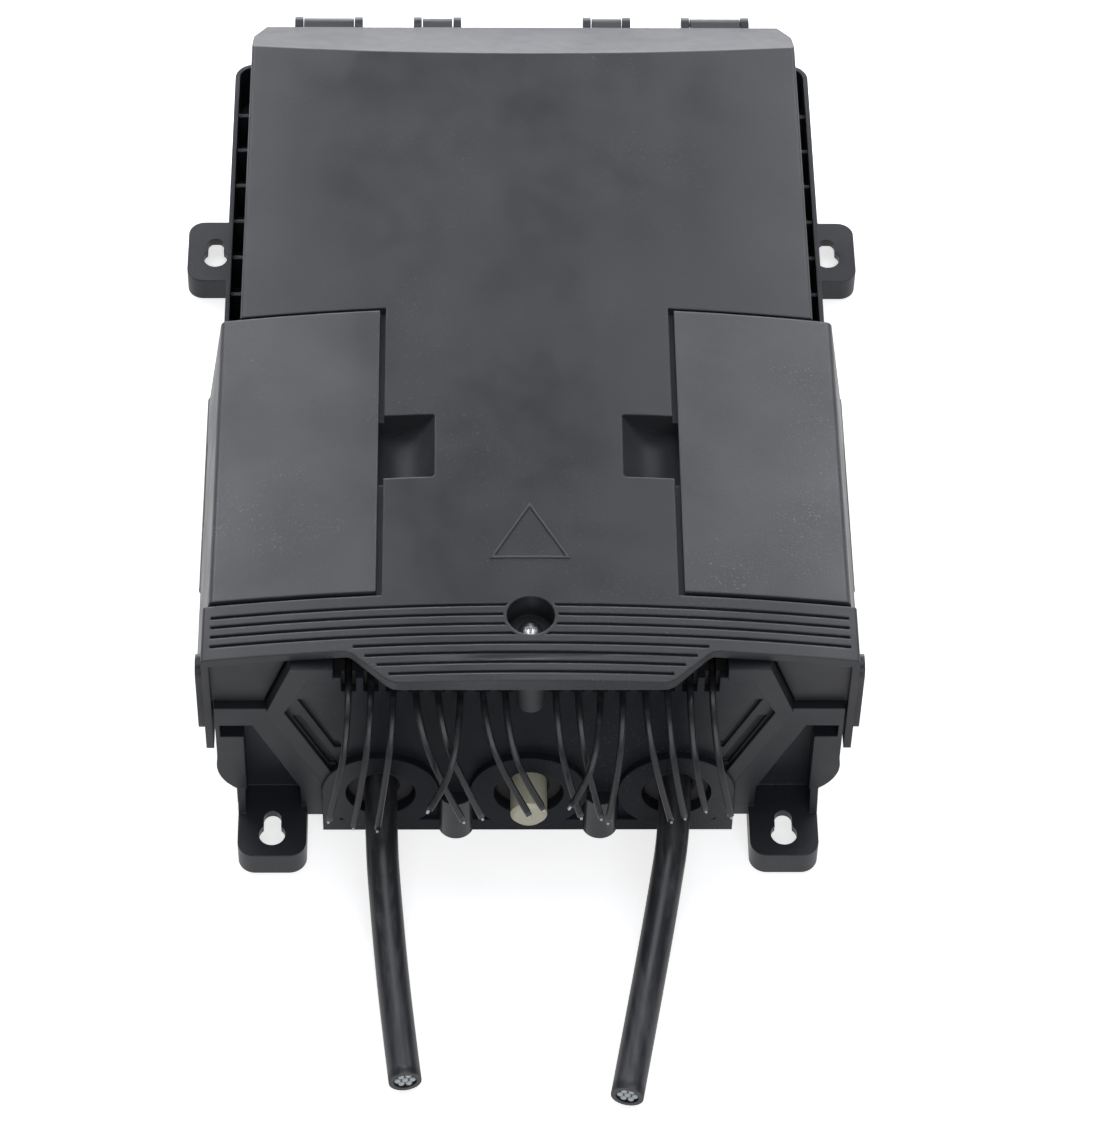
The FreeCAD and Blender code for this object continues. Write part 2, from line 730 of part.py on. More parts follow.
late_solids.append(box("base_seal_shelf", (-comb_half, comb_half),
                       (face_inner - bite, face_inner + seal_length),
                       (seal_bottom - shelf_thickness, seal_bottom)))

# Base: inner posts, cradles and the gasket groove
late_solids.append(cylinder("base_screw_post", "z", (0, screw_y), (wall / 2, screw_post_top),
                            screw_boss_radius))
late_cuts.append(cylinder("base_insert_hole", "z", (0, screw_y),
                          (screw_post_top - insert_length - bite, screw_post_top + bite),
                          insert_radius))
tray_front = front + tray_setback
tray_back = tray_front + tray_length
tray_posts = []
for side, way in SIDES:
    for end, place in (("front", tray_front + tray_post_inset), ("back", tray_back - tray_post_inset)):
        tray_posts.append((side + "_" + end, tray_post_half * way, place))
for name, x, y in tray_posts:
    late_solids.append(cylinder("base_tray_post_" + name, "z", (x, y), (wall / 2, tray_level), post_radius))
    late_cuts.append(cylinder("base_tray_pilot_" + name, "z", (x, y), (tray_level / 2, tray_level + bite),
                              clamp_screw_radius))
clamp_front = front + clamp_setback
clamp_back = clamp_front + clamp_length
clamp_places = [port_places[0], port_places[2]]
for side, place in clamp_places:
    late_solids.append(box("base_cradle_" + side, (place - clamp_width / 2, place + clamp_width / 2),
                           (clamp_front, clamp_back), (wall / 2, port_height)))
    late_cuts.append(cylinder("base_cradle_bore_" + side, "y", (place, port_height),
                              (clamp_front - bite, clamp_back + bite),
                              feeder_radius + cable_clearance))
    for step in (-1, 1):
        late_cuts.append(cylinder("base_clamp_pilot_%s_%d" % (side, step + 1), "z",
                                  (place + clamp_screw_offset * step, (clamp_front + clamp_back) / 2),
                                  (port_height / 2, port_height + bite), clamp_screw_radius))
plate_y = front + adapter_setback
plate_foot_y = plate_y + adapter_plate_foot / 2
plate_screw_x = adapter_plate_half - adapter_plate_foot
for side, way in SIDES:
    late_cuts.append(cylinder("base_plate_pilot_" + side, "z", (plate_screw_x * way, plate_foot_y),
                              (wall / 2, wall + bite), clamp_screw_radius))


def gasket_outline(gap):
    """Strip round the rim, open where the port block stands; gap widens it into its groove."""
    outer = body_half - gasket_inset + gap
    inner = body_half - gasket_inset - gasket_width - gap
    near = tub_front + gasket_inset - gap
    near_inner = tub_front + gasket_inset + gasket_width + gap
    far = back - gasket_inset + gap
    far_inner = back - gasket_inset - gasket_width - gap
    end = block_waist_half + part_gap - gap
    outside = list(reversed(tapered(outer, near, far)))
    inside = tapered(inner, near_inner, far_inner)
    return [(-end, near)] + outside + [(end, near), (end, near_inner)] + inside + [(-end, near_inner)]


gasket_floor = parting_height - gasket_height + seal_gap / 2
late_cuts.append(prism("base_gasket_groove", "XY", gasket_floor, parting_height + past,
                       gasket_outline(cable_clearance)))

base_shell = cut("base_shell", fuse("base_outer", base_solids), base_cuts)
keep(cut("base", fuse("base_moulding", [base_shell] + late_solids), late_cuts), "base")
keep(prism("cover_gasket", "XY", gasket_floor, parting_height + seal_gap / 2, gasket_outline(0)),
     "cover_gasket")

# Cover: crowned shell with its front band, lip and side skirts
lip_shoulder = lip_half_width + lip_slope_width
lip_depth = cover_front - lip_front
lip_floor = crown_height - lip_thickness
recess_depth = panel_thickness + part_gap
recess_inner = panel_inner - panel_side_gap
skirt_inner = body_half + skirt_gap
skirt_outer = skirt_inner + skirt_wall
slope_rise = (crown_height - slope_end_height) / crease_setback
EASE_BULGE = 0.26


def crowned(half, bottom, below=0):
    """Section with a flat bottom and a crowned top."""
    return [(-half, bottom), (half, bottom), (half, crown(half, below)),
            (-half, crown(half, below), 0, crown_height - below)]


def shouldered(half):
    """Crowned top of a section from right to left, with a rounded shoulder at each side."""
    inner = half - shoulder_radius
    top = crown(inner)
    via = half - shoulder_radius * QUARTER_ARC
    via_height = top - shoulder_radius * QUARTER_ARC
    return [(half, top - shoulder_radius), (inner, top, via, via_height), (-inner, top, 0, crown_height),
            (-half, top - shoulder_radius, -via, via_height)]


def above_crown(inner, outer, below):
    """Section of everything above a crowned surface between two distances."""
    middle = (as_size(inner) + outer) / 2
    return [(inner, crown_height + past), (inner, crown(inner, below)),
            (outer, crown(outer, below), middle, crown(middle, below)), (outer, crown_height + past)]


skirt_step = front_half - band_skirt_wall
band_section = [
    (-front_half, band_skirt_bottom), (-skirt_step, band_skirt_bottom), (-skirt_step, cover_bottom),
    (skirt_step, cover_bottom), (skirt_step, band_skirt_bottom), (front_half, band_skirt_bottom),
] + shouldered(front_half)
lip_back = cover_front + brow_depth + wall
lip_slope = root(lip_slope_width * lip_slope_width + lip_depth * lip_depth)
ease_x = lip_ease * lip_slope_width / lip_slope
ease_y = lip_ease * lip_depth / lip_slope
bulge_x = (lip_ease - ease_x) * EASE_BULGE
bulge_y = ease_y * EASE_BULGE
lip_edge = [
    (lip_half_width - lip_ease, lip_front),
    (lip_half_width + ease_x, lip_front + ease_y, lip_half_width - bulge_x, lip_front + bulge_y),
    (lip_shoulder - ease_x, cover_front - ease_y),
    (lip_shoulder + lip_ease, cover_front, lip_shoulder + bulge_x, cover_front - bulge_y),
    (lip_shoulder + lip_ease, lip_back), (0, lip_back), (0, lip_front),
]
cover_solids = [
    prism("cover_crown", "XZ", cover_front, back,
          [(-body_half, cover_bottom), (body_half, cover_bottom)] + shouldered(body_half)),
    prism("cover_band", "XZ", cover_front, band_back, band_section),
]
lip_halves = [prism("cover_lip_" + side, "XY", lip_floor, crown_height + past, handed(way, lip_edge))
              for side, way in SIDES]
slope_skin = wall * root(slope_rise * slope_rise + bite)
hollow_profile = [
    (panel_high + wall, cover_bottom - past), (back - wall, cover_bottom - past),
    (back - wall, slope_end_height + slope_rise * wall - slope_skin), (crease, crown_height - slope_skin),
    (panel_high + wall, crown_height - slope_skin),
]
inner_half = body_half - wall
hollow_low = cover_front + brow_depth + wall
cover_cuts = [
    prism("cover_slope", "YZ", -front_half, front_half,
          [(crease, crown_height), (back, slope_end_height), (back + past, slope_end_height),
           (back + past, crown_height + past), (crease, crown_height + past)]),
    common("cover_hollow_top",
           prism("cover_hollow_plan", "XY", cover_bottom - past, crown_height,
                 tapered(inner_half, panel_high + wall, back - wall)),
           common("cover_hollow_bow",
                  prism("cover_hollow_arch", "XZ", panel_high + wall, back - wall,
                        crowned(inner_half, cover_bottom - past, wall)),
                  prism("cover_hollow_slope", "YZ", -inner_half, inner_half, hollow_profile))),
    prism("cover_hollow_middle", "XZ", hollow_low, panel_high + wall + bite,
          crowned(recess_inner - wall, cover_bottom - past, wall)),
    prism("cover_hollow_wide", "XZ", hollow_low, panel_high + wall + bite,
          crowned(inner_half, cover_bottom - past, recess_depth + wall)),
    prism("cover_brow", "XZ", cover_front - past, cover_front + brow_depth,
          crowned(skirt_step, cover_bottom - past, brow_thickness)),
    box("cover_ledge_room", (-ledge_half - part_gap, ledge_half + part_gap),
        (cover_front - past, tub_front + bite + part_gap), (cover_bottom - past, ledge_high + part_gap)),
]

# Cover: rim over the gasket, opened where the port block stands
rim_ring = prism("cover_rim", "XY", cover_bottom, cover_bottom + wall,
                 tapered(body_half - bite, tub_front + bite + part_gap, back - bite),
                 tapered(body_half - rim_width, tub_front + rim_width, back - rim_width))
block_room = [
    (block_waist_half + part_gap, cover_bottom - past), (block_waist_half + part_gap, block_waist_height),
    (block_top_half + part_gap, block_top_height + part_gap),
    (-block_top_half - part_gap, block_top_height + part_gap),
    (-block_waist_half - part_gap, block_waist_height), (-block_waist_half - part_gap, cover_bottom - past),
]
rim_cut = prism("cover_block_room", "XZ", lip_front - past, tub_front + rim_width + bite, block_room)
cover_open = cut("cover_open", fuse("cover_outer", cover_solids), cover_cuts)
cover_rimmed = cut("cover_rimmed", fuse("cover_ringed", [cover_open, rim_ring] + lip_halves), [rim_cut])

# Cover: skirts and knuckles that carry the latches
latch_knuckle_back = panel_high - latch_knuckle_start
latch_knuckle_front = latch_knuckle_back - latch_knuckle_length
nose_y = (latch_knuckle_front + latch_knuckle_back) / 2
cover_late = []
cover_last_cuts = []
for side, way in SIDES:
    corner = [(body_half - corner_cut_width, back), (body_half, back - corner_cut_length),
              (body_half + bite, back - corner_cut_length), (body_half + bite, back + bite),
              (body_half - corner_cut_width, back + bite)]
    cover_last_cuts.append(prism("cover_corner_" + side, "XY", cover_bottom - bite, crown_height,
                                 handed(way, corner)))
for side, way in SIDES:
    grip_y = cover_front + grip_setback
    grip_top = crown(front_half) - grip_drop
    grip = across(way, front_half - bite, front_half + grip_proud)
    cover_late.append(prism("cover_grip_" + side, "YZ", grip[0], grip[1],
                            rounded(grip_y, grip_top - grip_height, grip_y + grip_length, grip_top,
                                    grip_corner)))
    skirt_y = (band_back - wall * 3, panel_high)
    cover_late.append(box("cover_skirt_" + side, across(way, skirt_inner, skirt_outer), skirt_y,
                          (skirt_bottom, cover_bottom + wall)))
    cover_late.append(box("cover_skirt_ledge_" + side, across(way, body_half - wall, skirt_outer), skirt_y,
                          (cover_bottom, cover_bottom + wall)))
    spans = (("front", latch_knuckle_front - swing_gap - cover_knuckle_length,
              latch_knuckle_front - swing_gap),
             ("back", latch_knuckle_back + swing_gap, latch_knuckle_back + swing_gap + cover_knuckle_length))
    for end, low, high in spans:
        cover_late.append(cylinder("cover_latch_knuckle_%s_%s" % (side, end), "y",
                                   (latch_pin_out * way, latch_pin_height),
                                   (low, high), latch_knuckle_radius))
        cover_late.append(box("cover_latch_arm_%s_%s" % (side, end),
                              across(way, skirt_outer - bite, latch_pin_out),
                              (low, high), (skirt_bottom, latch_pin_height)))
    cover_last_cuts.append(cylinder("cover_latch_hole_" + side, "y", (latch_pin_out * way, latch_pin_height),
                                    (spans[0][1] - bite, spans[1][2] + bite),
                                    latch_pin_radius + pin_clearance))
    cover_last_cuts.append(box("cover_nose_window_" + side,
                               across(way, skirt_inner - skirt_gap / 2, skirt_outer + bite),
                               (nose_y - nose_width / 2 - part_gap, nose_y + nose_width / 2 + part_gap),
                               (nose_low - part_gap * 2, parting_height)))

# Cover: finger notches and the recesses that the latch panels lie in
BOWL_ALONG = 0.55
BOWL_DOWN = 0.8
for side, way in SIDES:
    notch_deep = panel_inner + wall
    notch_shallow = panel_inner - finger_reach
    notch_y = (panel_middle - finger_length / 2, panel_middle + finger_length / 2)
    bowl_x = notch_shallow + (notch_deep - notch_shallow) * BOWL_ALONG
    bowl_height = crown_height - finger_depth * BOWL_DOWN
    cup = [
        (notch_shallow - wall, crown_height - wall / 2),
        (notch_deep, crown_height - finger_depth - wall, bowl_x - wall / 2, bowl_height - wall),
        (notch_deep + wall, crown_height - finger_depth - wall), (notch_deep + wall, crown_height - wall * 2),
        (recess_inner - wall, crown_height - wall),
    ]
    notch = [(notch_shallow, crown_height), (notch_deep, crown_height - finger_depth, bowl_x, bowl_height),
             (notch_deep, crown_height + past),
             (notch_shallow, crown_height + past)]
    notch_plan = across(way, notch_shallow, notch_deep + wall)
    recess = above_crown(recess_inner, panel_outer + past, recess_depth)
    cover_late.append(prism("cover_notch_cup_" + side, "XZ", notch_y[0] - wall, notch_y[1] + wall,
                            handed(way, cup)))
    cover_last_cuts.append(common(
        "cover_notch_" + side,
        prism("cover_notch_bowl_" + side, "XZ", notch_y[0], notch_y[1], handed(way, notch)),
        prism("cover_notch_plan_" + side, "XY", crown_height - finger_depth - bite, crown_height + past,
              rounded(notch_plan[0], notch_y[0], notch_plan[1], notch_y[1], finger_corner))))
    cover_last_cuts.append(prism("cover_recess_" + side, "XZ", band_back, panel_high + panel_end_gap,
                                 handed(way, recess)))

# Cover: grooves across the band and the lip
grooves = []
for number in range(groove_count):
    groove_y = front + groove_start - groove_pitch * number
    on_lip = (cover_front - groove_y) / lip_depth
    groove_half = front_half - groove_margin
    if float(groove_y) < float(cover_front) + float(groove_margin):
        groove_half = lip_shoulder - lip_slope_width * on_lip - groove_margin
    grooves.append(prism("cover_groove_%d" % number, "XZ", groove_y - groove_width / 2,
                         groove_y + groove_width / 2,
                         above_crown(-groove_half, groove_half, groove_depth)))
cover_grooved = cut("cover_grooved", cover_rimmed, grooves)

# Cover: screw well, locating peg under the lip and hinge knuckles
well_outer = screw_recess_radius + wall
cover_late += [
    cylinder("cover_well", "z", (0, screw_y), (screw_seat_height - wall, crown_height - groove_depth * 2),
             well_outer),
    cylinder("cover_well_ring", "z", (0, screw_y), (screw_seat_height, crown_height + bite),
             screw_recess_radius + screw_ring_width),
    cylinder("cover_screw_boss", "z", (0, screw_y), (screw_post_top + part_gap, screw_seat_height),
             screw_boss_radius),
    cylinder("cover_lip_peg", "z", (0, lip_front + lip_peg_radius + bite),
             (lip_peg_bottom, crown_height - groove_depth * 2),
             lip_peg_radius),
]
hinge_bays = [(hinge_inner_near, hinge_inner_far), (hinge_outer_near, hinge_outer_far)]
for number, (near, far) in enumerate(hinge_bays):
    for side, way in SIDES:
        span = across(way, near + hinge_ear_width / 2 + swing_gap, far - hinge_ear_width / 2 - swing_gap)
        cover_late.append(cylinder("cover_hinge_knuckle_%s_%d" % (side, number), "x",
                                   (hinge_y, hinge_height), span,
                                   hinge_knuckle_radius))
        cover_late.append(box("cover_hinge_arm_%s_%d" % (side, number), span, (back - wall / 2, hinge_y),
                              (cover_bottom, hinge_height + hinge_knuckle_radius)))
cover_last_cuts += [
    cylinder("cover_hinge_hole", "x", (hinge_y, hinge_height), (-hinge_hole_half, hinge_hole_half),
             hinge_pin_radius + pin_clearance),
    cylinder("cover_well_hole", "z", (0, screw_y), (screw_seat_height, crown_height + past),
             screw_recess_radius),
    cylinder("cover_screw_hole", "z", (0, screw_y), (parting_height, crown_height), screw_hole_radius),
    prism("cover_trim", "XZ", lip_front - past, back + past,
          above_crown(-front_half - bite, front_half + bite, 0)),
]
keep(cut("cover", fuse("cover_moulding", [cover_grooved] + cover_late), cover_last_cuts), "cover")

# Latches: a crowned panel with a flared side that turns on a pin in the cover's skirt
for side, way in SIDES:
    panel_center = (panel_inner + panel_outer) / 2
    shoulder_in = panel_outer - shoulder_radius
    shoulder_low = crown(panel_outer) - shoulder_radius
    flare_slope = latch_flare / (crown(panel_outer) - latch_foot_height)
    shoulder_out = panel_outer + flare_slope * shoulder_radius
    under_outer = panel_outer - panel_thickness
    under_center = (panel_inner + under_outer) / 2
    section = [
        (panel_inner, crown(panel_inner)),
        (shoulder_in, crown(shoulder_in), panel_center, crown(panel_center)),
        (shoulder_out, shoulder_low, panel_outer - shoulder_radius * QUARTER_ARC,
         crown(panel_outer) - shoulder_radius * QUARTER_ARC),
        (panel_outer + latch_flare, latch_foot_height),
        (panel_outer + latch_flare - panel_thickness, latch_foot_height),
        (under_outer, crown(under_outer, panel_thickness)),
        (panel_inner, crown(panel_inner, panel_thickness), under_center,
         crown(under_center, panel_thickness)),
    ]
    solids = [
        prism("latch_panel_" + side, "XZ", panel_low, panel_high, handed(way, section)),
        cylinder("latch_knuckle_" + side, "y", (latch_pin_out * way, latch_pin_height),
                 (latch_knuckle_front, latch_knuckle_back), latch_knuckle_radius),
        box("latch_neck_" + side, across(way, latch_pin_out - panel_thickness / 2, panel_outer + latch_flare),
            (latch_knuckle_front, latch_knuckle_back), (latch_pin_height, latch_foot_height + bite)),
        box("latch_nose_" + side,
            across(way, body_half + part_gap, panel_outer + latch_flare - panel_thickness / 2),
            (nose_y - nose_width / 2, nose_y + nose_width / 2), (nose_low, nose_high)),
    ]
    hole = cylinder("latch_hole_" + side, "y", (latch_pin_out * way, latch_pin_height),
                    (latch_knuckle_front - bite, latch_knuckle_back + bite), latch_pin_radius + pin_clearance)
    keep(cut("latch_" + side, fuse("latch_solid_" + side, solids), [hole]), "latch_" + side)
    keep(cylinder("latch_pin_" + side, "y", (latch_pin_out * way, latch_pin_height),
                  (latch_knuckle_front - swing_gap - cover_knuckle_length,
                   latch_knuckle_back + swing_gap + cover_knuckle_length), latch_pin_radius),
                   "latch_pin_" + side)
    pin = across(way, hinge_inner_near - hinge_ear_width / 2 - hinge_pin_overhang,
                 hinge_outer_far + hinge_ear_width / 2 + hinge_pin_overhang)
    keep(cylinder("hinge_pin_" + side, "x", (hinge_y, hinge_height), pin, hinge_pin_radius),
         "hinge_pin_" + side)


def revolve(name, axis, center, loop):
    """Turn a half section, given as radius and level, about the z or y axis through center."""
    rotation, level = PLANES["XZ" if axis == "z" else "XY"]
    sketch = doc.addObject("Sketcher::SketchObject", name + "_sketch")
    sketch.Placement = FreeCAD.Placement(FreeCAD.Vector(0, 0, 0), rotation)
    bind(sketch, "Placement.Base.x", center[0])
    bind(sketch, "Placement.Base." + level, center[1])
    draw(sketch, [loop])
    solid = doc.addObject("Part::Revolution", name)
    solid.Source = sketch
    solid.Axis = FreeCAD.Vector(0, 0, 1) if axis == "z" else FreeCAD.Vector(0, 1, 0)
    solid.Angle = 360
    solid.Solid = True
    bind(solid, "Base.x", center[0])
    bind(solid, "Base." + level, center[1])
    return solid


def sag(radius, rise):
    """How far a round dome has fallen half way out to its rim."""
    ball = (radius * radius + rise * rise) / (rise * 2)
    return ball - root(ball * ball - radius * radius / 4)


def pan_screw(name, x, y, seat, depth):
    """A small pan-head screw standing on a seat."""
    head_top = seat + clamp_screw_rise
    shank = clamp_screw_radius - pin_clearance
    return revolve(name, "z", (x, y), [
        (0, seat - depth), (shank, seat - depth), (shank, seat), (clamp_screw_head, seat),
        (clamp_screw_head, head_top - clamp_screw_ease), (clamp_screw_head - clamp_screw_ease, head_top),
        (0, head_top)])


# Cover screw with its rubber washer and brass insert
screw_seat = screw_seat_height + washer_thickness
screw_crown = screw_seat + screw_head_height
screw_solid = revolve("cover_screw_solid", "z", (0, screw_y), [
    (0, screw_tip_height), (screw_shank_radius, screw_tip_height), (screw_shank_radius, screw_seat),
    (screw_head_radius, screw_seat), (screw_head_radius, screw_seat + screw_rim_height),
    (0, screw_crown, screw_head_radius / 2,
     screw_crown - sag(screw_head_radius, screw_head_height - screw_rim_height))])
cross_floor = screw_crown - cross_depth
screw_cross = [
    box("cover_screw_cross_x", (-cross_half, cross_half), (screw_y - cross_slot, screw_y + cross_slot),
        (cross_floor, screw_crown + bite)),
    box("cover_screw_cross_y", (-cross_slot, cross_slot), (screw_y - cross_half, screw_y + cross_half),
        (cross_floor, screw_crown + bite)),
]
keep(cut("cover_screw", screw_solid, screw_cross), "cover_screw")
keep(cut("screw_washer",
         cylinder("screw_washer_disc", "z", (0, screw_y), (screw_seat_height, screw_seat), screw_head_radius),
         [cylinder("screw_washer_bore", "z", (0, screw_y), (screw_seat_height - bite, screw_seat + bite),
                   screw_shank_radius + pin_clearance)]), "screw_washer")
keep(cut("screw_insert",
         cylinder("screw_insert_body", "z", (0, screw_y), (screw_post_top - insert_length, screw_post_top),
                  insert_radius - pin_clearance),
         [cylinder("screw_insert_bore", "z", (0, screw_y),
                   (screw_post_top - insert_length - bite, screw_post_top + bite),
                   screw_hole_radius)]), "screw_insert")

# Glands in the ports, the plug and the drop seal
gland_front = front + gland_recess
gland_back = face_inner + gland_flange
for side, place in port_places:
    bore = plug_radius + cable_clearance if side == "centre" else feeder_radius + cable_clearance
    collar = port_hole_radius - gland_clearance
    keep(revolve("gland_" + side, "y", (place, port_height), [
        (bore, gland_front + bite), (bore + bite, gland_front), (collar - bite, gland_front),
        (collar, gland_front + bite),
        (collar, face_inner), (gland_flange_radius, face_inner), (gland_flange_radius, gland_back),
        (bore, gland_back)]),
         "gland_" + side)
plug_front = front - port_ring_proud - plug_proud
plug_back = gland_back + plug_tail
keep(revolve("port_plug", "y", (0, port_height), [
    (0, plug_back), (0, plug_front), (plug_radius - plug_chamfer, plug_front),
    (plug_radius, plug_front + plug_chamfer), (plug_radius, plug_back)]), "port_plug")
slits = []
for number, place in enumerate(drop_places()):
    slit_half = drop_width / 2 + seal_slit_gap
    slits.append(box("drop_seal_slit_%d" % number, (place - slit_half, place + slit_half),
                     (face_inner - bite, face_inner + seal_length + bite),
                     (drop_level - drop_height / 2 - seal_slit_gap, comb_tooth_top + bite)))
keep(cut("drop_seal", box("drop_seal_strip", (-comb_half, comb_half), (face_inner, face_inner + seal_length),
                          (seal_bottom, comb_tooth_top)), slits), "drop_seal")

# Adapter panel with its adapters and the drop connectors in them
plate_bottom = wall
plate_top = drop_level + adapter_flange_height / 2 + adapter_plate_margin
plate_solids = [
    box("adapter_panel_plate", (-adapter_plate_half, adapter_plate_half), (plate_y, plate_y + adapter_plate),
        (plate_bottom, plate_top)),
    box("adapter_panel_foot", (-adapter_plate_half, adapter_plate_half),
        (plate_y, plate_y + adapter_plate_foot),
        (plate_bottom, plate_bottom + adapter_plate)),
]
plate_cuts = [box("adapter_panel_opening", (-tray_post_half, tray_post_half),
                  (plate_y - bite, plate_y + adapter_plate + bite),
                  (plate_bottom + adapter_plate * 3, drop_level - adapter_flange_height))]
for side, way in SIDES:
    plate_cuts.append(cylinder("adapter_panel_hole_" + side, "z", (plate_screw_x * way, plate_foot_y),
                               (plate_bottom - bite, plate_bottom + adapter_plate + bite),
                               clamp_screw_radius + cable_clearance))
adapters = []
connectors = []
adapter_front = plate_y - adapter_length / 2
adapter_back = plate_y + adapter_length / 2
connector_back = adapter_front + connector_depth
connector_front = connector_back - connector_length
for number, place in enumerate(drop_places()):
    half_width = adapter_width / 2
    half_height = adapter_height / 2
    window = (place - half_width - cable_clearance, place + half_width + cable_clearance)
    plate_cuts.append(box("adapter_panel_window_%d" % number, window,
                          (plate_y - bite, plate_y + adapter_plate + bite),
                          (drop_level - half_height - cable_clearance,
                           drop_level + half_height + cable_clearance)))
    body = box("adapter_body_%d" % number, (place - half_width, place + half_width),
               (adapter_front, adapter_back),
               (drop_level - half_height, drop_level + half_height))
    flange = box("adapter_flange_%d" % number,
                 (place - drop_pitch / 2 + cable_clearance, place + drop_pitch / 2 - cable_clearance),
                 (plate_y - adapter_flange, plate_y),
                 (drop_level - adapter_flange_height / 2, drop_level + adapter_flange_height / 2))
    socket_x = (place - half_width + adapter_wall, place + half_width - adapter_wall)
    socket_z = (drop_level - half_height + adapter_wall, drop_level + half_height - adapter_wall)
    sockets = [
        box("adapter_socket_in_%d" % number, socket_x, (adapter_front - bite, plate_y - adapter_wall),
            socket_z),
        box("adapter_socket_out_%d" % number, socket_x, (plate_y + adapter_wall, adapter_back + bite),
            socket_z),
    ]
    adapters.append(cut("adapter_%d" % number, fuse("adapter_solid_%d" % number, [body, flange]), sockets))
    plug_z = (drop_level - connector_height / 2, drop_level + connector_height / 2)
    housing_half = half_height - adapter_wall / 2
    connectors.append(fuse("connector_%d" % number, [
        box("connector_plug_%d" % number, (place - connector_width / 2, place + connector_width / 2),
            (connector_front, connector_back), plug_z),
        box("connector_housing_%d" % number,
            (place - half_width + adapter_wall / 2, place + half_width - adapter_wall / 2),
            (connector_front, adapter_front - adapter_wall),
            (drop_level - housing_half, drop_level + housing_half)),
    ]))
keep(cut("adapter_panel", fuse("adapter_panel_bracket", plate_solids), plate_cuts), "adapter_panel")
keep(group("fibre_adapters", adapters), "fibre_adapters")
keep(group("drop_connectors", connectors), "drop_connectors")

# Splice tray on its posts, with lid, splice holder and splitter
tray_top = tray_level + tray_height
tray_floor = tray_level + tray_wall
tray_inner_half = tray_half - tray_wall
tray_middle = (tray_front + tray_back) / 2
spool_y = tray_middle + spool_radius
tray_outline = rounded(-tray_half, tray_front, tray_half, tray_back, tray_corner)
tray_inside = rounded(-tray_inner_half, tray_front + tray_wall, tray_inner_half, tray_back - tray_wall,
                      tray_corner - tray_wall)
tray_shell = cut("splice_tray_shell", prism("splice_tray_block", "XY", tray_level, tray_top, tray_outline),
                 [prism("splice_tray_inside", "XY", tray_floor, tray_top + bite, tray_inside)])
spools = []
for side, way in SIDES:
    spool_x = (spool_radius * 2 - spool_wall) * way
    spool_top = tray_top - tray_wall
    spools.append(cut("splice_tray_spool_" + side,
                      cylinder("splice_tray_spool_outer_" + side, "z", (spool_x, spool_y),
                               (tray_level, spool_top),
                               spool_radius),
                      [cylinder("splice_tray_spool_inner_" + side, "z", (spool_x, spool_y),
                                (tray_level - bite, spool_top + bite), spool_radius - spool_wall)]))
tray_holes = []
for name, x, y in tray_posts:
    tray_holes.append(cylinder("splice_tray_hole_" + name, "z", (x, y), (tray_level - bite, tray_top),
                               clamp_screw_radius + cable_clearance))
keep(cut("splice_tray", fuse("splice_tray_moulding", [tray_shell] + spools), tray_holes), "splice_tray")
keep(prism("tray_lid", "XY", tray_top, tray_top + lid_thickness, tray_outline), "tray_lid")
holder_y = tray_front + tray_post_inset * 2
holder_x = -holder_length / 2 - tray_wall * 2
holder_cuts = []
for number in range(holder_slots):
    slot_y = holder_y - holder_width / 2 + holder_width * (number + 0.5) / holder_slots
    slot_half = holder_width / holder_slots / 3
    holder_cuts.append(box("splice_holder_slot_%d" % number,
                           (holder_x - holder_length, holder_x + holder_length),
                           (slot_y - slot_half, slot_y + slot_half),
                           (tray_floor + holder_height / 3, tray_floor + holder_height + bite)))
keep(cut("splice_holder",
         box("splice_holder_block", (holder_x - holder_length / 2, holder_x + holder_length / 2),
                              (holder_y - holder_width / 2, holder_y + holder_width / 2),
                              (tray_floor, tray_floor + holder_height)), holder_cuts), "splice_holder")
keep(prism("splitter", "XY", tray_floor, tray_floor + splitter_height,
           rounded(tray_wall * 2, holder_y - splitter_width / 2, tray_wall * 2 + splitter_length,
                   holder_y + splitter_width / 2, splitter_width / 6)), "splitter")

# Feeder clamps and the small screws
clamp_y = (clamp_front + clamp_back) / 2
clamp_screws = []
for side, place in clamp_places:
    arch = cylinder("feeder_clamp_arch_" + side, "y", (place, port_height), (clamp_front, clamp_back),
                    feeder_radius + clamp_wall)
    bar = box("feeder_clamp_bar_" + side, (place - clamp_width / 2, place + clamp_width / 2),
              (clamp_front, clamp_back),
              (port_height, port_height + clamp_wall))
    clamp_cuts = [
        cylinder("feeder_clamp_bore_" + side, "y", (place, port_height),
                 (clamp_front - bite, clamp_back + bite),
                 feeder_radius + cable_clearance),
        box("feeder_clamp_below_" + side, (place - clamp_width, place + clamp_width),
            (clamp_front - bite, clamp_back + bite),
            (port_height - clamp_width, port_height)),
    ]
    for step in (-1, 1):
        screw_x = place + clamp_screw_offset * step
        clamp_cuts.append(cylinder("feeder_clamp_hole_%s_%d" % (side, step + 1), "z", (screw_x, clamp_y),
                                   (port_height, port_height + clamp_wall * 2),
                                   clamp_screw_radius + cable_clearance))
        clamp_screws.append(pan_screw("clamp_screw_%s_%d" % (side, step + 1), screw_x, clamp_y,
                                      port_height + clamp_wall, clamp_wall * 3))
    keep(cut("feeder_clamp_" + side, fuse("feeder_clamp_solid_" + side, [arch, bar]), clamp_cuts),
         "feeder_clamp_" + side)
keep(group("clamp_screws", clamp_screws), "clamp_screws")
panel_screws = []
for side, way in SIDES:
    panel_screws.append(pan_screw("panel_screw_" + side, plate_screw_x * way, plate_foot_y,
                                  plate_bottom + adapter_plate, adapter_plate + wall / 2 - cable_clearance))
keep(group("panel_screws", panel_screws), "panel_screws")
tray_screws = []
for name, x, y in tray_posts:
    tray_screws.append(pan_screw("tray_screw_" + name, x, y, tray_floor, tray_wall * 5))
keep(group("tray_screws", tray_screws), "tray_screws")

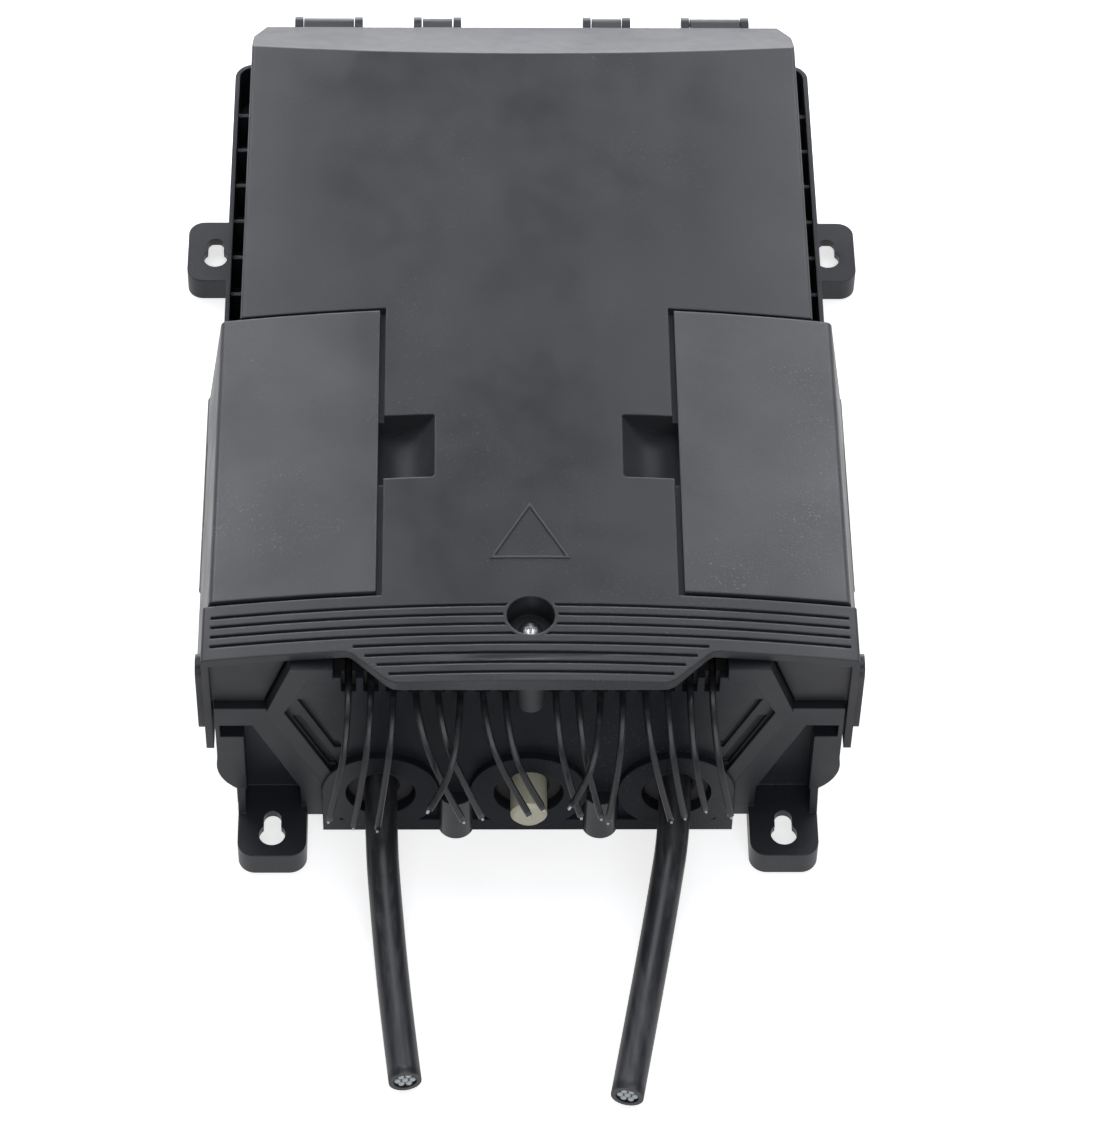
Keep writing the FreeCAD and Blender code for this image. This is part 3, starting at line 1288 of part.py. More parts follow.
# Cords: straight runs joined by tangent arcs through points chosen by hand
FEEDER_ROUTES = {
    "left": [(-50.5, -137.0, 23.0), (-50.5, -172.0, 23.0), (-47.6, -206.0, 12.5), (-44.5, -236.0, 6.6),
             (-41.4, -262.0, 6.2)],
    "right": [(50.5, -137.0, 23.0), (50.5, -166.0, 23.0), (44.2, -201.0, 13.2), (37.7, -235.0, 6.9),
              (31.6, -268.0, 6.2)],
}
DROP_TAILS = [
    [(-61.5, -173.0, 68.5), (-64.5, -179.0, 54.0), (-67.2, -179.5, 39.7)],
    [(-54.0, -172.5, 68.0), (-56.7, -177.5, 52.0), (-59.0, -178.5, 34.5)],
    [(-46.5, -172.5, 68.0), (-49.0, -177.5, 51.5), (-51.0, -178.5, 33.0)],
    [(-34.5, -171.5, 68.0), (-28.5, -176.0, 52.0), (-22.7, -176.5, 35.0)],
    [(-27.5, -171.5, 68.0), (-21.5, -176.0, 53.0), (-16.4, -176.5, 37.0)],
    [(-24.7, -175.5, 71.5), (-28.6, -182.5, 61.0), (-33.4, -185.5, 53.5)],
    [(-12.5, -172.5, 68.5), (-6.0, -178.0, 55.0), (-0.6, -179.0, 41.8)],
    [(-6.0, -173.0, 69.0), (-0.5, -179.0, 57.0), (4.1, -179.5, 46.0)],
    [(10.0, -172.0, 68.0), (13.5, -177.0, 53.5), (16.9, -178.5, 40.3)],
    [(17.5, -172.0, 68.0), (20.8, -177.0, 53.5), (23.7, -178.0, 39.0)],
    [(21.8, -175.5, 71.5), (17.8, -182.5, 61.5), (13.6, -185.5, 55.5)],
    [(30.0, -172.0, 68.0), (28.2, -176.5, 51.5), (26.6, -176.8, 35.0)],
    [(40.2, -172.5, 68.5), (44.0, -178.0, 53.0), (47.2, -178.5, 38.0)],
    [(46.8, -172.5, 68.5), (49.4, -178.0, 54.0), (51.8, -178.5, 40.0)],
    [(54.0, -173.0, 69.0), (56.5, -179.0, 56.0), (58.6, -179.5, 45.5)],
    [(61.8, -173.0, 69.0), (64.7, -179.0, 55.0), (67.2, -179.5, 42.0)],
]
DROP_STARTS = [(-130.25, 78.6), (-146.0, 79.2), (-161.5, 79.0)]
ARC_SHARE = 0.45


def cord_path(points):
    """Wire of straight runs and tangent arcs, with the arcs' radii."""
    places = [FreeCAD.Vector(*point) for point in points]
    edges = []
    radii = []
    begin = places[0]
    for before, corner, after in zip(places, places[1:], places[2:]):
        back_run = before - corner
        next_run = after - corner
        reach = ARC_SHARE * min(back_run.Length, next_run.Length)
        half_turn = (math.pi - back_run.getAngle(next_run)) / 2
        radii.append(reach / math.tan(half_turn))
        back_run.normalize()
        next_run.normalize()
        enter = corner + back_run * reach
        leave = corner + next_run * reach
        inward = back_run + next_run
        inward.normalize()
        bend = corner + inward * radii[-1] * (1 / math.cos(half_turn) - 1)
        edges.append(Part.LineSegment(begin, enter).toShape())
        edges.append(Part.Arc(enter, bend, leave).toShape())
        begin = leave
    edges.append(Part.LineSegment(begin, places[-1]).toShape())
    return Part.Wire(edges), radii


def cord(name, points, section, area):
    """Sweep a section, drawn at the route's first point, along the route."""
    path, radii = cord_path(points)
    solid = doc.addObject("Part::Feature", name)
    solid.Shape = path.makePipeShell([section], True, False)
    share = solid.Shape.Volume / (area * path.Length)
    print("%s: length %.1f, radii %s, volume share %.3f"
          % (name, path.Length, [round(radius, 1) for radius in radii], share))
    keep(solid, name)


for side, way in SIDES:
    route = FEEDER_ROUTES[side]
    radius = float(feeder_radius)
    ring = Part.Wire(Part.Circle(FreeCAD.Vector(*route[0]), FreeCAD.Vector(0, 1, 0), radius).toShape())
    cord("feeder_cable_" + side, route, ring, math.pi * radius ** 2)
for number, place in enumerate(drop_places()):
    x = round(float(place), 2)
    route = [(x, y, z) for y, z in DROP_STARTS] + DROP_TAILS[number]
    half_width = float(drop_width) / 2
    half_height = float(drop_height) / 2
    y, z = DROP_STARTS[0]
    corners = [(x - half_width, y, z - half_height), (x + half_width, y, z - half_height),
               (x + half_width, y, z + half_height), (x - half_width, y, z + half_height)]
    outline = Part.makePolygon([FreeCAD.Vector(*corner) for corner in corners + corners[:1]])
    cord("drop_cable_%02d" % (number + 1), route, outline, float(drop_width) * float(drop_height))


# Check every object, then write one file for each sub-part
doc.recompute()
for item in doc.Objects:
    if "Invalid" in item.State or "Error" in item.State:
        raise RuntimeError("failed object: %s %s" % (item.Name, item.State))
os.makedirs("parts", exist_ok=True)
for item in parts:
    if item.Shape.isNull() or not item.Shape.isValid():
        raise RuntimeError("bad shape: " + item.Label)
    item.Shape.exportStep("parts/%s.step" % item.Label)
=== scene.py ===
import json
import math

import bmesh
import bpy
from mathutils import Matrix, Vector


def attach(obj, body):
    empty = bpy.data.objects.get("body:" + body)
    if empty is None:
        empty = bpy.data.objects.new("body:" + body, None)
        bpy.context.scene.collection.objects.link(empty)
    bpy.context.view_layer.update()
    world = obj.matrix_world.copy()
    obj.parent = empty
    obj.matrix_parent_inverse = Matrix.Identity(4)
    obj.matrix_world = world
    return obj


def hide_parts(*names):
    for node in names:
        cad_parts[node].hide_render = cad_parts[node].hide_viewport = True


# Looks for the fibre distribution box, in metres, in the CAD frame: +Z out of the cover, +Y to the hinge end.

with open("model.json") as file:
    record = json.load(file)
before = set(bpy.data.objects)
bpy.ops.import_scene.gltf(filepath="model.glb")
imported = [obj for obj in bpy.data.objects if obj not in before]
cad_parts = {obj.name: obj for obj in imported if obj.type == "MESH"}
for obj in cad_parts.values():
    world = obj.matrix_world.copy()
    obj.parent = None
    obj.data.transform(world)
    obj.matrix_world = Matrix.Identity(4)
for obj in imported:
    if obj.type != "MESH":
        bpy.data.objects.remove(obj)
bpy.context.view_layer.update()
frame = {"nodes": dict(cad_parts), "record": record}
nodes = frame["nodes"]
scene = bpy.context.scene
scene.view_settings.view_transform = "Standard"
MM = 0.001

# Camera, fitted to the photo: place and clipping in metres, lens and sensor in millimetres
CAMERA_PLACE = Vector((-0.0225, -1.0310, 1.2399))
CAMERA_TILT = math.radians(51.30)
CAMERA_TURN = math.radians(1.93)
CAMERA_ROLL = math.radians(1.52)
CAMERA_LENS = 140.1
CAMERA_SENSOR = 36
CAMERA_NEAREST = 0.01
CAMERA_FARTHEST = 50


def add_camera():
    ahead = Vector((math.sin(CAMERA_TURN) * math.cos(CAMERA_TILT),
                    math.cos(CAMERA_TURN) * math.cos(CAMERA_TILT), -math.sin(CAMERA_TILT)))
    level = ahead.cross(Vector((0, 0, 1))).normalized()
    upright = level.cross(ahead)
    right = level * math.cos(CAMERA_ROLL) + upright * math.sin(CAMERA_ROLL)
    up = upright * math.cos(CAMERA_ROLL) - level * math.sin(CAMERA_ROLL)
    data = bpy.data.cameras.new("camera")
    data.lens = CAMERA_LENS
    data.sensor_width = CAMERA_SENSOR
    data.dof.use_dof = False
    data.clip_start = CAMERA_NEAREST
    data.clip_end = CAMERA_FARTHEST
    camera = bpy.data.objects.new("camera", data)
    camera.matrix_world = Matrix.Translation(CAMERA_PLACE) @ Matrix((right, up, -ahead)).transposed().to_4x4()
    scene.collection.objects.link(camera)
    scene.camera = camera


add_camera()

# Shader nodes: the sockets of a Mix node that hold colours, and the values that noise mostly covers
MIX_FIRST = 6
MIX_SECOND = 7
MIX_RESULT = 2
NOISE_LOW = 0.3
NOISE_HIGH = 0.7


def new_material(name):
    material = bpy.data.materials.new(name)
    material.use_nodes = True
    tree = material.node_tree
    return material, tree, tree.nodes["Principled BSDF"]


def place(tree, kind, **settings):
    """Add a node, with its properties and inputs set by name."""
    node = tree.nodes.new(kind)
    for key, value in settings.items():
        if hasattr(node, key):
            setattr(node, key, value)
        else:
            node.inputs[key.replace("_", " ")].default_value = value
    return node


def noise(tree, scale, detail=3.0, roughness=0.55, stretch=None):
    """Noise over the object's own coordinates, stretched where asked."""
    where = place(tree, "ShaderNodeTexCoord").outputs["Object"]
    if stretch:
        mapping = place(tree, "ShaderNodeMapping")
        mapping.inputs["Scale"].default_value = stretch
        tree.links.new(where, mapping.inputs["Vector"])
        where = mapping.outputs["Vector"]
    texture = place(tree, "ShaderNodeTexNoise", Scale=scale, Detail=detail, Roughness=roughness)
    tree.links.new(where, texture.inputs["Vector"])
    return texture.outputs["Fac"]


def spread(tree, value, low, high, new_low=0.0, new_high=1.0):
    """Map a value's range to another."""
    ranged = place(tree, "ShaderNodeMapRange", From_Min=low, From_Max=high, To_Min=new_low, To_Max=new_high)
    tree.links.new(value, ranged.inputs["Value"])
    return ranged.outputs["Result"]


def spread_noise(tree, value, new_low=0.0, new_high=1.0):
    """Map the values that noise mostly covers to another range."""
    return spread(tree, value, NOISE_LOW, NOISE_HIGH, new_low, new_high)


def mix_colours(tree, factor, first, second):
    """Mix two colours, each a triple or another node's output."""
    mixed = place(tree, "ShaderNodeMix", data_type="RGBA")
    tree.links.new(factor, mixed.inputs["Factor"])
    for socket, colour in ((mixed.inputs[MIX_FIRST], first), (mixed.inputs[MIX_SECOND], second)):
        if isinstance(colour, tuple):
            socket.default_value = (*colour, 1)
        else:
            tree.links.new(colour, socket)
    return mixed.outputs[MIX_RESULT]


def bump(tree, shader, height, distance, strength, under=None):
    """Roughen a shader's normal by a height, on top of another normal where one is given."""
    lift = place(tree, "ShaderNodeBump", Strength=strength, Distance=distance)
    tree.links.new(height, lift.inputs["Height"])
    if under:
        tree.links.new(under, lift.inputs["Normal"])
    tree.links.new(lift.outputs["Normal"], shader.inputs["Normal"])


def calculate(tree, operation, *values):
    """A math node over numbers and other nodes' outputs."""
    node = place(tree, "ShaderNodeMath", operation=operation)
    for socket, value in zip(node.inputs, values):
        if isinstance(value, (int, float)):
            socket.default_value = value
        else:
            tree.links.new(value, socket)
    return node.outputs[0]


# Painted shade: the middle of the recessed end face and its port rings is made less shiny, so it renders
# darker as if in shadow; their planes, then its reach sideways and off them
END_FACE = -154.25 * MM
RING_FACE = -157.25 * MM
SHADE_FULL = 50 * MM
SHADE_END = 78 * MM
SHADE_ON = 0.4 * MM
SHADE_OFF = 0.8 * MM


def painted_shade_panel(tree):
    """Painted-shade mask: 1 in the middle of the recessed end face and on its port rings, fading out to the
    sides.
    """
    split = place(tree, "ShaderNodeSeparateXYZ")
    tree.links.new(place(tree, "ShaderNodeTexCoord").outputs["Object"], split.inputs["Vector"])
    middle = (END_FACE + RING_FACE) / 2
    reach = (END_FACE - RING_FACE) / 2
    off_face = calculate(tree, "ABSOLUTE", calculate(tree, "SUBTRACT", split.outputs["Y"], middle))
    on_face = spread(tree, off_face, reach + SHADE_ON, reach + SHADE_OFF, 1, 0)
    inward = spread(tree, calculate(tree, "ABSOLUTE", split.outputs["X"]), SHADE_FULL, SHADE_END, 1, 0)
    return calculate(tree, "MULTIPLY", on_face, inward)


# Moulded plastic: noise scales, what counts as a speck and where specks gather, wear, and shine, full and
# under the painted shade
CLOUD_SCALE = 22
SPECK_SCALE = 1300
SPECK_SPAN = (0.64, 0.76)
SPECK_GAIN = 1.8
SPECK_LIFT = 0.03
PATCH_SCALE = 18
PATCH_SPAN = (0.48, 0.66)
PATCH_SHARE = (0.05, 0.9)
HANDLING_SCALE = 55
HANDLING_DEPTH = 0.06
SMEAR_SCALE = 11
SMEAR_STRETCH = (1.0, 0.6, 1.0)
GRAIN_STRENGTH = 0.5
BEVEL_SAMPLES = 4
FULL_SHINE = 0.5
PAINTED_SHADE_SHINE = 0.06


def moulded(name, dark, light, gloss, grain, grain_depth, edge=0.6 * MM, haze=0.06, shade_painted=False):
    """Moulded plastic: cloudy colour, spark-eroded grain, fine specks and softened edges."""
    material, tree, shader = new_material(name)
    tone = mix_colours(tree, spread_noise(tree, noise(tree, CLOUD_SCALE, detail=5)), dark, light)
    specks = spread(tree, noise(tree, SPECK_SCALE, detail=1), *SPECK_SPAN)
    patches = spread(tree, noise(tree, PATCH_SCALE), *PATCH_SPAN, *PATCH_SHARE)
    pale = tuple(min(1.0, value * SPECK_GAIN + SPECK_LIFT) for value in light)
    speckled = mix_colours(tree, calculate(tree, "MULTIPLY", specks, patches), tone, pale)
    tree.links.new(speckled, shader.inputs["Base Color"])
    handling = noise(tree, HANDLING_SCALE, detail=6, roughness=0.65)
    smears = noise(tree, SMEAR_SCALE, detail=4, roughness=0.6, stretch=SMEAR_STRETCH)
    worn = calculate(tree, "ADD", spread_noise(tree, handling, -HANDLING_DEPTH, HANDLING_DEPTH),
                     spread_noise(tree, smears, -haze, haze))
    tree.links.new(calculate(tree, "ADD", worn, gloss), shader.inputs["Roughness"])
    soft = place(tree, "ShaderNodeBevel", samples=BEVEL_SAMPLES, Radius=edge)
    bump(tree, shader, noise(tree, grain, detail=2), grain_depth, GRAIN_STRENGTH, soft.outputs["Normal"])
    # Painted shade: less shine on the middle of the end face and its rings, so they render darker as if
    # shadowed
    if shade_painted:
        shine = spread(tree, painted_shade_panel(tree), 0, 1, FULL_SHINE, PAINTED_SHADE_SHINE)
        tree.links.new(shine, shader.inputs["Specular IOR Level"])
    return material


# Clear sheet
HAZE_SCALE = 40
HAZE_SMOOTHER = 0.03
HAZE_ROUGHER = 0.05
HAZE_COVER = 0.04


def clear(name, dark, light, gloss, cover):
    """Smoky clear sheet, faintly clouded."""
    material, tree, shader = new_material(name)
    haze = noise(tree, HAZE_SCALE, detail=4)
    tree.links.new(mix_colours(tree, haze, dark, light), shader.inputs["Base Color"])
    worn = spread_noise(tree, haze, gloss - HAZE_SMOOTHER, gloss + HAZE_ROUGHER)
    tree.links.new(worn, shader.inputs["Roughness"])
    tree.links.new(spread_noise(tree, haze, cover - HAZE_COVER, cover + HAZE_COVER), shader.inputs["Alpha"])
    return material


# Rubber
RUBBER_SCALE = 90
RUBBER_LIGHTER = 1.7
RUBBER_GRAIN = 1400
RUBBER_DEPTH = 0.05 * MM


def rubber(name, dark, gloss):
    """Matt rubber with a fine grain."""
    material, tree, shader = new_material(name)
    light = tuple(value * RUBBER_LIGHTER for value in dark)
    tree.links.new(mix_colours(tree, noise(tree, RUBBER_SCALE), dark, light), shader.inputs["Base Color"])
    shader.inputs["Roughness"].default_value = gloss
    bump(tree, shader, noise(tree, RUBBER_GRAIN), RUBBER_DEPTH, strength=0.4)
    return material


# Metal
MARK_SCALE = 2600
MARK_STRETCH = (1, 0.2, 0.2)
MARK_SMOOTHER = 0.05
MARK_ROUGHER = 0.1
MARK_DEPTH = 0.01 * MM


def metal(name, dark, light, gloss):
    """Bright metal with fine turning marks."""
    material, tree, shader = new_material(name)
    shader.inputs["Metallic"].default_value = 1
    marks = noise(tree, MARK_SCALE, stretch=MARK_STRETCH)
    tree.links.new(mix_colours(tree, marks, dark, light), shader.inputs["Base Color"])
    worn = spread_noise(tree, marks, gloss - MARK_SMOOTHER, gloss + MARK_ROUGHER)
    tree.links.new(worn, shader.inputs["Roughness"])
    bump(tree, shader, marks, MARK_DEPTH, strength=0.2)
    return material


# Cable jackets
SCUFF_SCALE = 260
SCUFF_SPAN = (0.45, 0.75)
SCUFF_SMOOTHER = 0.05
SCUFF_ROUGHER = 0.12
SCUFF_DEPTH = 0.05 * MM


def jacket(name, dark, light, gloss, stretch):
    """Extruded cable jacket with faint scuffs along it."""
    material, tree, shader = new_material(name)
    scuffs = noise(tree, SCUFF_SCALE, detail=5, stretch=stretch)
    colour = mix_colours(tree, spread(tree, scuffs, *SCUFF_SPAN), dark, light)
    tree.links.new(colour, shader.inputs["Base Color"])
    worn = spread_noise(tree, scuffs, gloss - SCUFF_SMOOTHER, gloss + SCUFF_ROUGHER)
    tree.links.new(worn, shader.inputs["Roughness"])
    bump(tree, shader, scuffs, SCUFF_DEPTH, strength=0.3)
    return material


# Looks: the record's slots, and the rods and tubes in the cables' cut ends
LOOK_PLANS = {
    # The base plastic carries painted shade on the middle of its end face and port rings
    "base_plastic": (moulded, dict(dark=(0.019, 0.021, 0.026), light=(0.028, 0.031, 0.037), gloss=0.42,
                                   grain=1900, grain_depth=0.05 * MM, shade_painted=True)),
    "cover_plastic": (moulded, dict(dark=(0.026, 0.027, 0.031), light=(0.038, 0.039, 0.044), gloss=0.44,
                                    grain=1900, grain_depth=0.06 * MM, edge=0.9 * MM, haze=0.12)),
    "latch_plastic": (moulded, dict(dark=(0.052, 0.053, 0.058), light=(0.084, 0.085, 0.091), gloss=0.40,
                                    grain=1500, grain_depth=0.09 * MM, edge=0.9 * MM, haze=0.16)),
    "seal_rubber": (rubber, dict(dark=(0.012, 0.012, 0.013), gloss=0.75)),
    "plug_plastic": (moulded, dict(dark=(0.86, 0.81, 0.58), light=(0.93, 0.89, 0.68), gloss=0.4,
                                   grain=1200, grain_depth=0.04 * MM)),
    "steel": (metal, dict(dark=(0.72, 0.72, 0.73), light=(0.84, 0.84, 0.84), gloss=0.27)),
    "brass": (metal, dict(dark=(0.60, 0.44, 0.18), light=(0.80, 0.62, 0.30), gloss=0.28)),
    "panel_plastic": (moulded, dict(dark=(0.42, 0.43, 0.44), light=(0.50, 0.51, 0.52), gloss=0.45,
                                    grain=1700, grain_depth=0.05 * MM)),
    "adapter_plastic": (moulded, dict(dark=(0.02, 0.26, 0.10), light=(0.03, 0.34, 0.14), gloss=0.35,
                                      grain=1700, grain_depth=0.03 * MM)),
    "connector_plastic": (moulded, dict(dark=(0.03, 0.32, 0.13), light=(0.05, 0.40, 0.18), gloss=0.35,
                                        grain=1700, grain_depth=0.03 * MM)),
    "tray_plastic": (moulded, dict(dark=(0.54, 0.55, 0.54), light=(0.62, 0.63, 0.62), gloss=0.45,
                                   grain=1700, grain_depth=0.04 * MM)),
    "lid_plastic": (clear, dict(dark=(0.50, 0.53, 0.55), light=(0.60, 0.63, 0.65), gloss=0.14, cover=0.34)),
    "feeder_jacket": (jacket, dict(dark=(0.030, 0.031, 0.035), light=(0.096, 0.098, 0.105), gloss=0.36,
                                   stretch=(1, 0.15, 1))),
    "drop_jacket": (jacket, dict(dark=(0.016, 0.017, 0.019), light=(0.044, 0.045, 0.049), gloss=0.32,
                                 stretch=(1, 1, 0.2))),
    "strength_wire": (moulded, dict(dark=(0.90, 0.91, 0.92), light=(0.97, 0.97, 0.97), gloss=0.25,
                                    grain=900, grain_depth=0.02 * MM, edge=0.1 * MM)),
    "feeder_core": (moulded, dict(dark=(0.80, 0.86, 0.89), light=(0.90, 0.94, 0.96), gloss=0.35,
                                  grain=900, grain_depth=0.03 * MM)),
}
LOOKS = {name: kind(name, **settings) for name, (kind, settings) in LOOK_PLANS.items()}
slot_of = {entry["node"]: entry["material_slot"] for entry in frame["record"]["subparts"]}
for name, node in nodes.items():
    node.data.materials.clear()
    node.data.materials.append(LOOKS[slot_of[name]])

# Cords: the route points of the CAD model, in millimetres
FEEDER_ROUTES = {
    "left": [(-50.5, -137.0, 23.0), (-50.5, -172.0, 23.0), (-47.6, -206.0, 12.5), (-44.5, -236.0, 6.6),
             (-41.4, -262.0, 6.2)],
    "right": [(50.5, -137.0, 23.0), (50.5, -166.0, 23.0), (44.2, -201.0, 13.2), (37.7, -235.0, 6.9),
              (31.6, -268.0, 6.2)],
}
DROP_STARTS = [(-130.25, 78.6), (-146.0, 79.2), (-161.5, 79.0)]
DROP_FIRST = 8.4
DROP_PITCH = 7.42
DROP_EACH_SIDE = 8
DROP_TAILS = [
    [(-61.5, -173.0, 68.5), (-64.5, -179.0, 54.0), (-67.2, -179.5, 39.7)],
    [(-54.0, -172.5, 68.0), (-56.7, -177.5, 52.0), (-59.0, -178.5, 34.5)],
    [(-46.5, -172.5, 68.0), (-49.0, -177.5, 51.5), (-51.0, -178.5, 33.0)],
    [(-34.5, -171.5, 68.0), (-28.5, -176.0, 52.0), (-22.7, -176.5, 35.0)],
    [(-27.5, -171.5, 68.0), (-21.5, -176.0, 53.0), (-16.4, -176.5, 37.0)],
    [(-24.7, -175.5, 71.5), (-28.6, -182.5, 61.0), (-33.4, -185.5, 53.5)],
    [(-12.5, -172.5, 68.5), (-6.0, -178.0, 55.0), (-0.6, -179.0, 41.8)],
    [(-6.0, -173.0, 69.0), (-0.5, -179.0, 57.0), (4.1, -179.5, 46.0)],
    [(10.0, -172.0, 68.0), (13.5, -177.0, 53.5), (16.9, -178.5, 40.3)],
    [(17.5, -172.0, 68.0), (20.8, -177.0, 53.5), (23.7, -178.0, 39.0)],
    [(21.8, -175.5, 71.5), (17.8, -182.5, 61.5), (13.6, -185.5, 55.5)],
    [(30.0, -172.0, 68.0), (28.2, -176.5, 51.5), (26.6, -176.8, 35.0)],
    [(40.2, -172.5, 68.5), (44.0, -178.0, 53.0), (47.2, -178.5, 38.0)],
    [(46.8, -172.5, 68.5), (49.4, -178.0, 54.0), (51.8, -178.5, 40.0)],
    [(54.0, -173.0, 69.0), (56.5, -179.0, 56.0), (58.6, -179.5, 45.5)],
    [(61.8, -173.0, 69.0), (64.7, -179.0, 55.0), (67.2, -179.5, 42.0)],
]
ROUTE_STEPS = 12
ROUTE_ORDER = 3

# Feeder: a round jacket bored at its cut end, with tubes round a middle one, sunk by shares of the cut
FEEDER_RADIUS = 5.5 * MM
FEEDER_BORE = 3.9 * MM
FEEDER_CUT = 0.9 * MM
TUBE_RADIUS = 1.1 * MM
TUBE_CIRCLE = 2.5 * MM
TUBE_COUNT = 6
TUBE_SUNK = (0.2, 0.3, 0.4)
TUBE_MIDDLE_SUNK = 0.3

# Drop cable: a flat jacket with two pale strength rods and the fibre between them, proud of its cut end
DROP_WIDTH = 2.2 * MM
DROP_HEIGHT = 3.0 * MM
DROP_CORNER = 0.6 * MM
DROP_WAIST = 0.45
WIRE_RADIUS = 0.48 * MM
WIRE_OFFSET = 0.8 * MM
WIRE_PROUD = 2.1 * MM
WIRE_LOWER_SHARE = 0.8
WIRE_SIDES = 8
FIBRE_RADIUS = 0.22 * MM
FIBRE_SHARE = 0.5
ROD_CHAMFER = 0.25


def route_line(route):
    """Points read along the NURBS spline whose control points are the route's."""
    data = bpy.data.curves.new("route", "CURVE")
    data.dimensions = "3D"
    data.resolution_u = ROUTE_STEPS
    spline = data.splines.new("NURBS")
    spline.points.add(len(route) - 1)
    for point, place_mm in zip(spline.points, route):
        point.co = (*[value * MM for value in place_mm], 1)
    spline.order_u = ROUTE_ORDER
    spline.use_endpoint_u = True
    holder = bpy.data.objects.new("route", data)
    mesh = bpy.data.meshes.new_from_object(holder)
    points = [vertex.co.copy() for vertex in mesh.vertices]
    bpy.data.objects.remove(holder)
    bpy.data.meshes.remove(mesh)
    bpy.data.curves.remove(data)
    return points


def carried_frames(points, sideways):
    """The directions sideways, up and ahead at each point, carried along without twist."""
    frames = []
    side = Vector(sideways)
    for number in range(len(points)):
        before = points[max(number - 1, 0)]
        after = points[min(number + 1, len(points) - 1)]
        ahead = (after - before).normalized()
        side = (side - ahead * side.dot(ahead)).normalized()
        frames.append((side, side.cross(ahead), ahead))
    return frames


def round_section(radius, count=24):
    return [(radius * math.cos(math.tau * step / count), radius * math.sin(math.tau * step / count))
            for step in range(count)]


def flat_section(width, height, corner, waist, count=4):
    """A rounded rectangle with a shallow groove in each long side, a share of the corner deep."""
    outline = []
    for x_way, z_way, start in ((1, -1, -0.5), (1, 1, 0.0), (-1, 1, 0.5), (-1, -1, 1.0)):
        for step in range(count + 1):
            turn = math.pi * (start + 0.5 * step / count)
            outline.append((x_way * (width / 2 - corner) + corner * math.cos(turn),
                            z_way * (height / 2 - corner) + corner * math.sin(turn)))
        if x_way * z_way < 0:
            outline.append((x_way * (width / 2 - corner * waist), 0.0))
    return outline


def add_ring(build, centre, side, up, section):
    return [build.verts.new(centre + side * x + up * z) for x, z in section]


def bridge(build, first, second, smooth=False):
    """Faces between two rings of as many points."""
    count = len(first)
    for step in range(count):
        following = (step + 1) % count
        face = build.faces.new((first[step], first[following], second[following], second[step]))
        face.smooth = smooth


def add_piece(name, build, material):
    """Make a piece of the scene from a built mesh."""
    bmesh.ops.recalc_face_normals(build, faces=build.faces)
    mesh = bpy.data.meshes.new(name)
    build.to_mesh(mesh)
    build.free()
    mesh.materials.append(material)
    piece = bpy.data.objects.new(name, mesh)
    scene.collection.objects.link(piece)
    return piece


def sweep(name, points, section, material, bore=0.0, cut=0.0):
    """A closed tube that carries a section along a line, its far end bored where asked.

    Also returns that end, as its point and the directions sideways, up and ahead.
    """
    build = bmesh.new()
    frames = carried_frames(points, (1, 0, 0))
    rings = [add_ring(build, point, side, up, section) for point, (side, up, ahead) in zip(points, frames)]
    for first, second in zip(rings, rings[1:]):
        bridge(build, first, second, smooth=True)
    build.faces.new(list(reversed(rings[0])))
    last = rings[-1]
    if bore:
        side, up, ahead = frames[-1]
        for depth in (0.0, cut):
            inner = add_ring(build, points[-1] - ahead * depth, side, up, round_section(bore, len(section)))
            bridge(build, last, inner)
            last = inner
    build.faces.new(last)
    return add_piece(name, build, material), (points[-1], *frames[-1])


def end_rods(name, end, rods, look, count=12):
    """Short round rods, each (sideways, up, radius, back, proud), that show in a cable's cut end."""
    point, side, up, ahead = end
    build = bmesh.new()
    for across, above, radius, back, proud in rods:
        middle = point + side * across + up * above
        rings = []
        for share, reach in ((1, -back), (1, proud - ROD_CHAMFER * radius), (1 - ROD_CHAMFER, proud)):
            section = round_section(radius * share, count)
            rings.append(add_ring(build, middle + ahead * reach, side, up, section))
        for first, second in zip(rings, rings[1:]):
            bridge(build, first, second, smooth=True)
        build.faces.new(list(reversed(rings[0])))
        build.faces.new(rings[-1])
    piece = add_piece(name, build, LOOKS[look])
    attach(piece, "base")
    return piece


def hang(piece, node):
    """Hang a swept cable on the base body, in place of a CAD node whose mesh is hidden."""
    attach(piece, "base")
    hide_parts(node)


for side, route in FEEDER_ROUTES.items():
    line = route_line(route)
    feeder, end = sweep("feeder_jacket_" + side, line, round_section(FEEDER_RADIUS), LOOKS["feeder_jacket"],
                        FEEDER_BORE, FEEDER_CUT)
    tubes = [(0.0, 0.0, TUBE_RADIUS, FEEDER_CUT, -TUBE_MIDDLE_SUNK * FEEDER_CUT)]
    for step in range(TUBE_COUNT):
        turn = math.tau * step / TUBE_COUNT
        tubes.append((TUBE_CIRCLE * math.cos(turn), TUBE_CIRCLE * math.sin(turn), TUBE_RADIUS, FEEDER_CUT,
                      -TUBE_SUNK[step % len(TUBE_SUNK)] * FEEDER_CUT))
    core = end_rods("feeder_core_" + side, end, tubes, "feeder_core")
    hang(feeder, "feeder_cable_" + side)

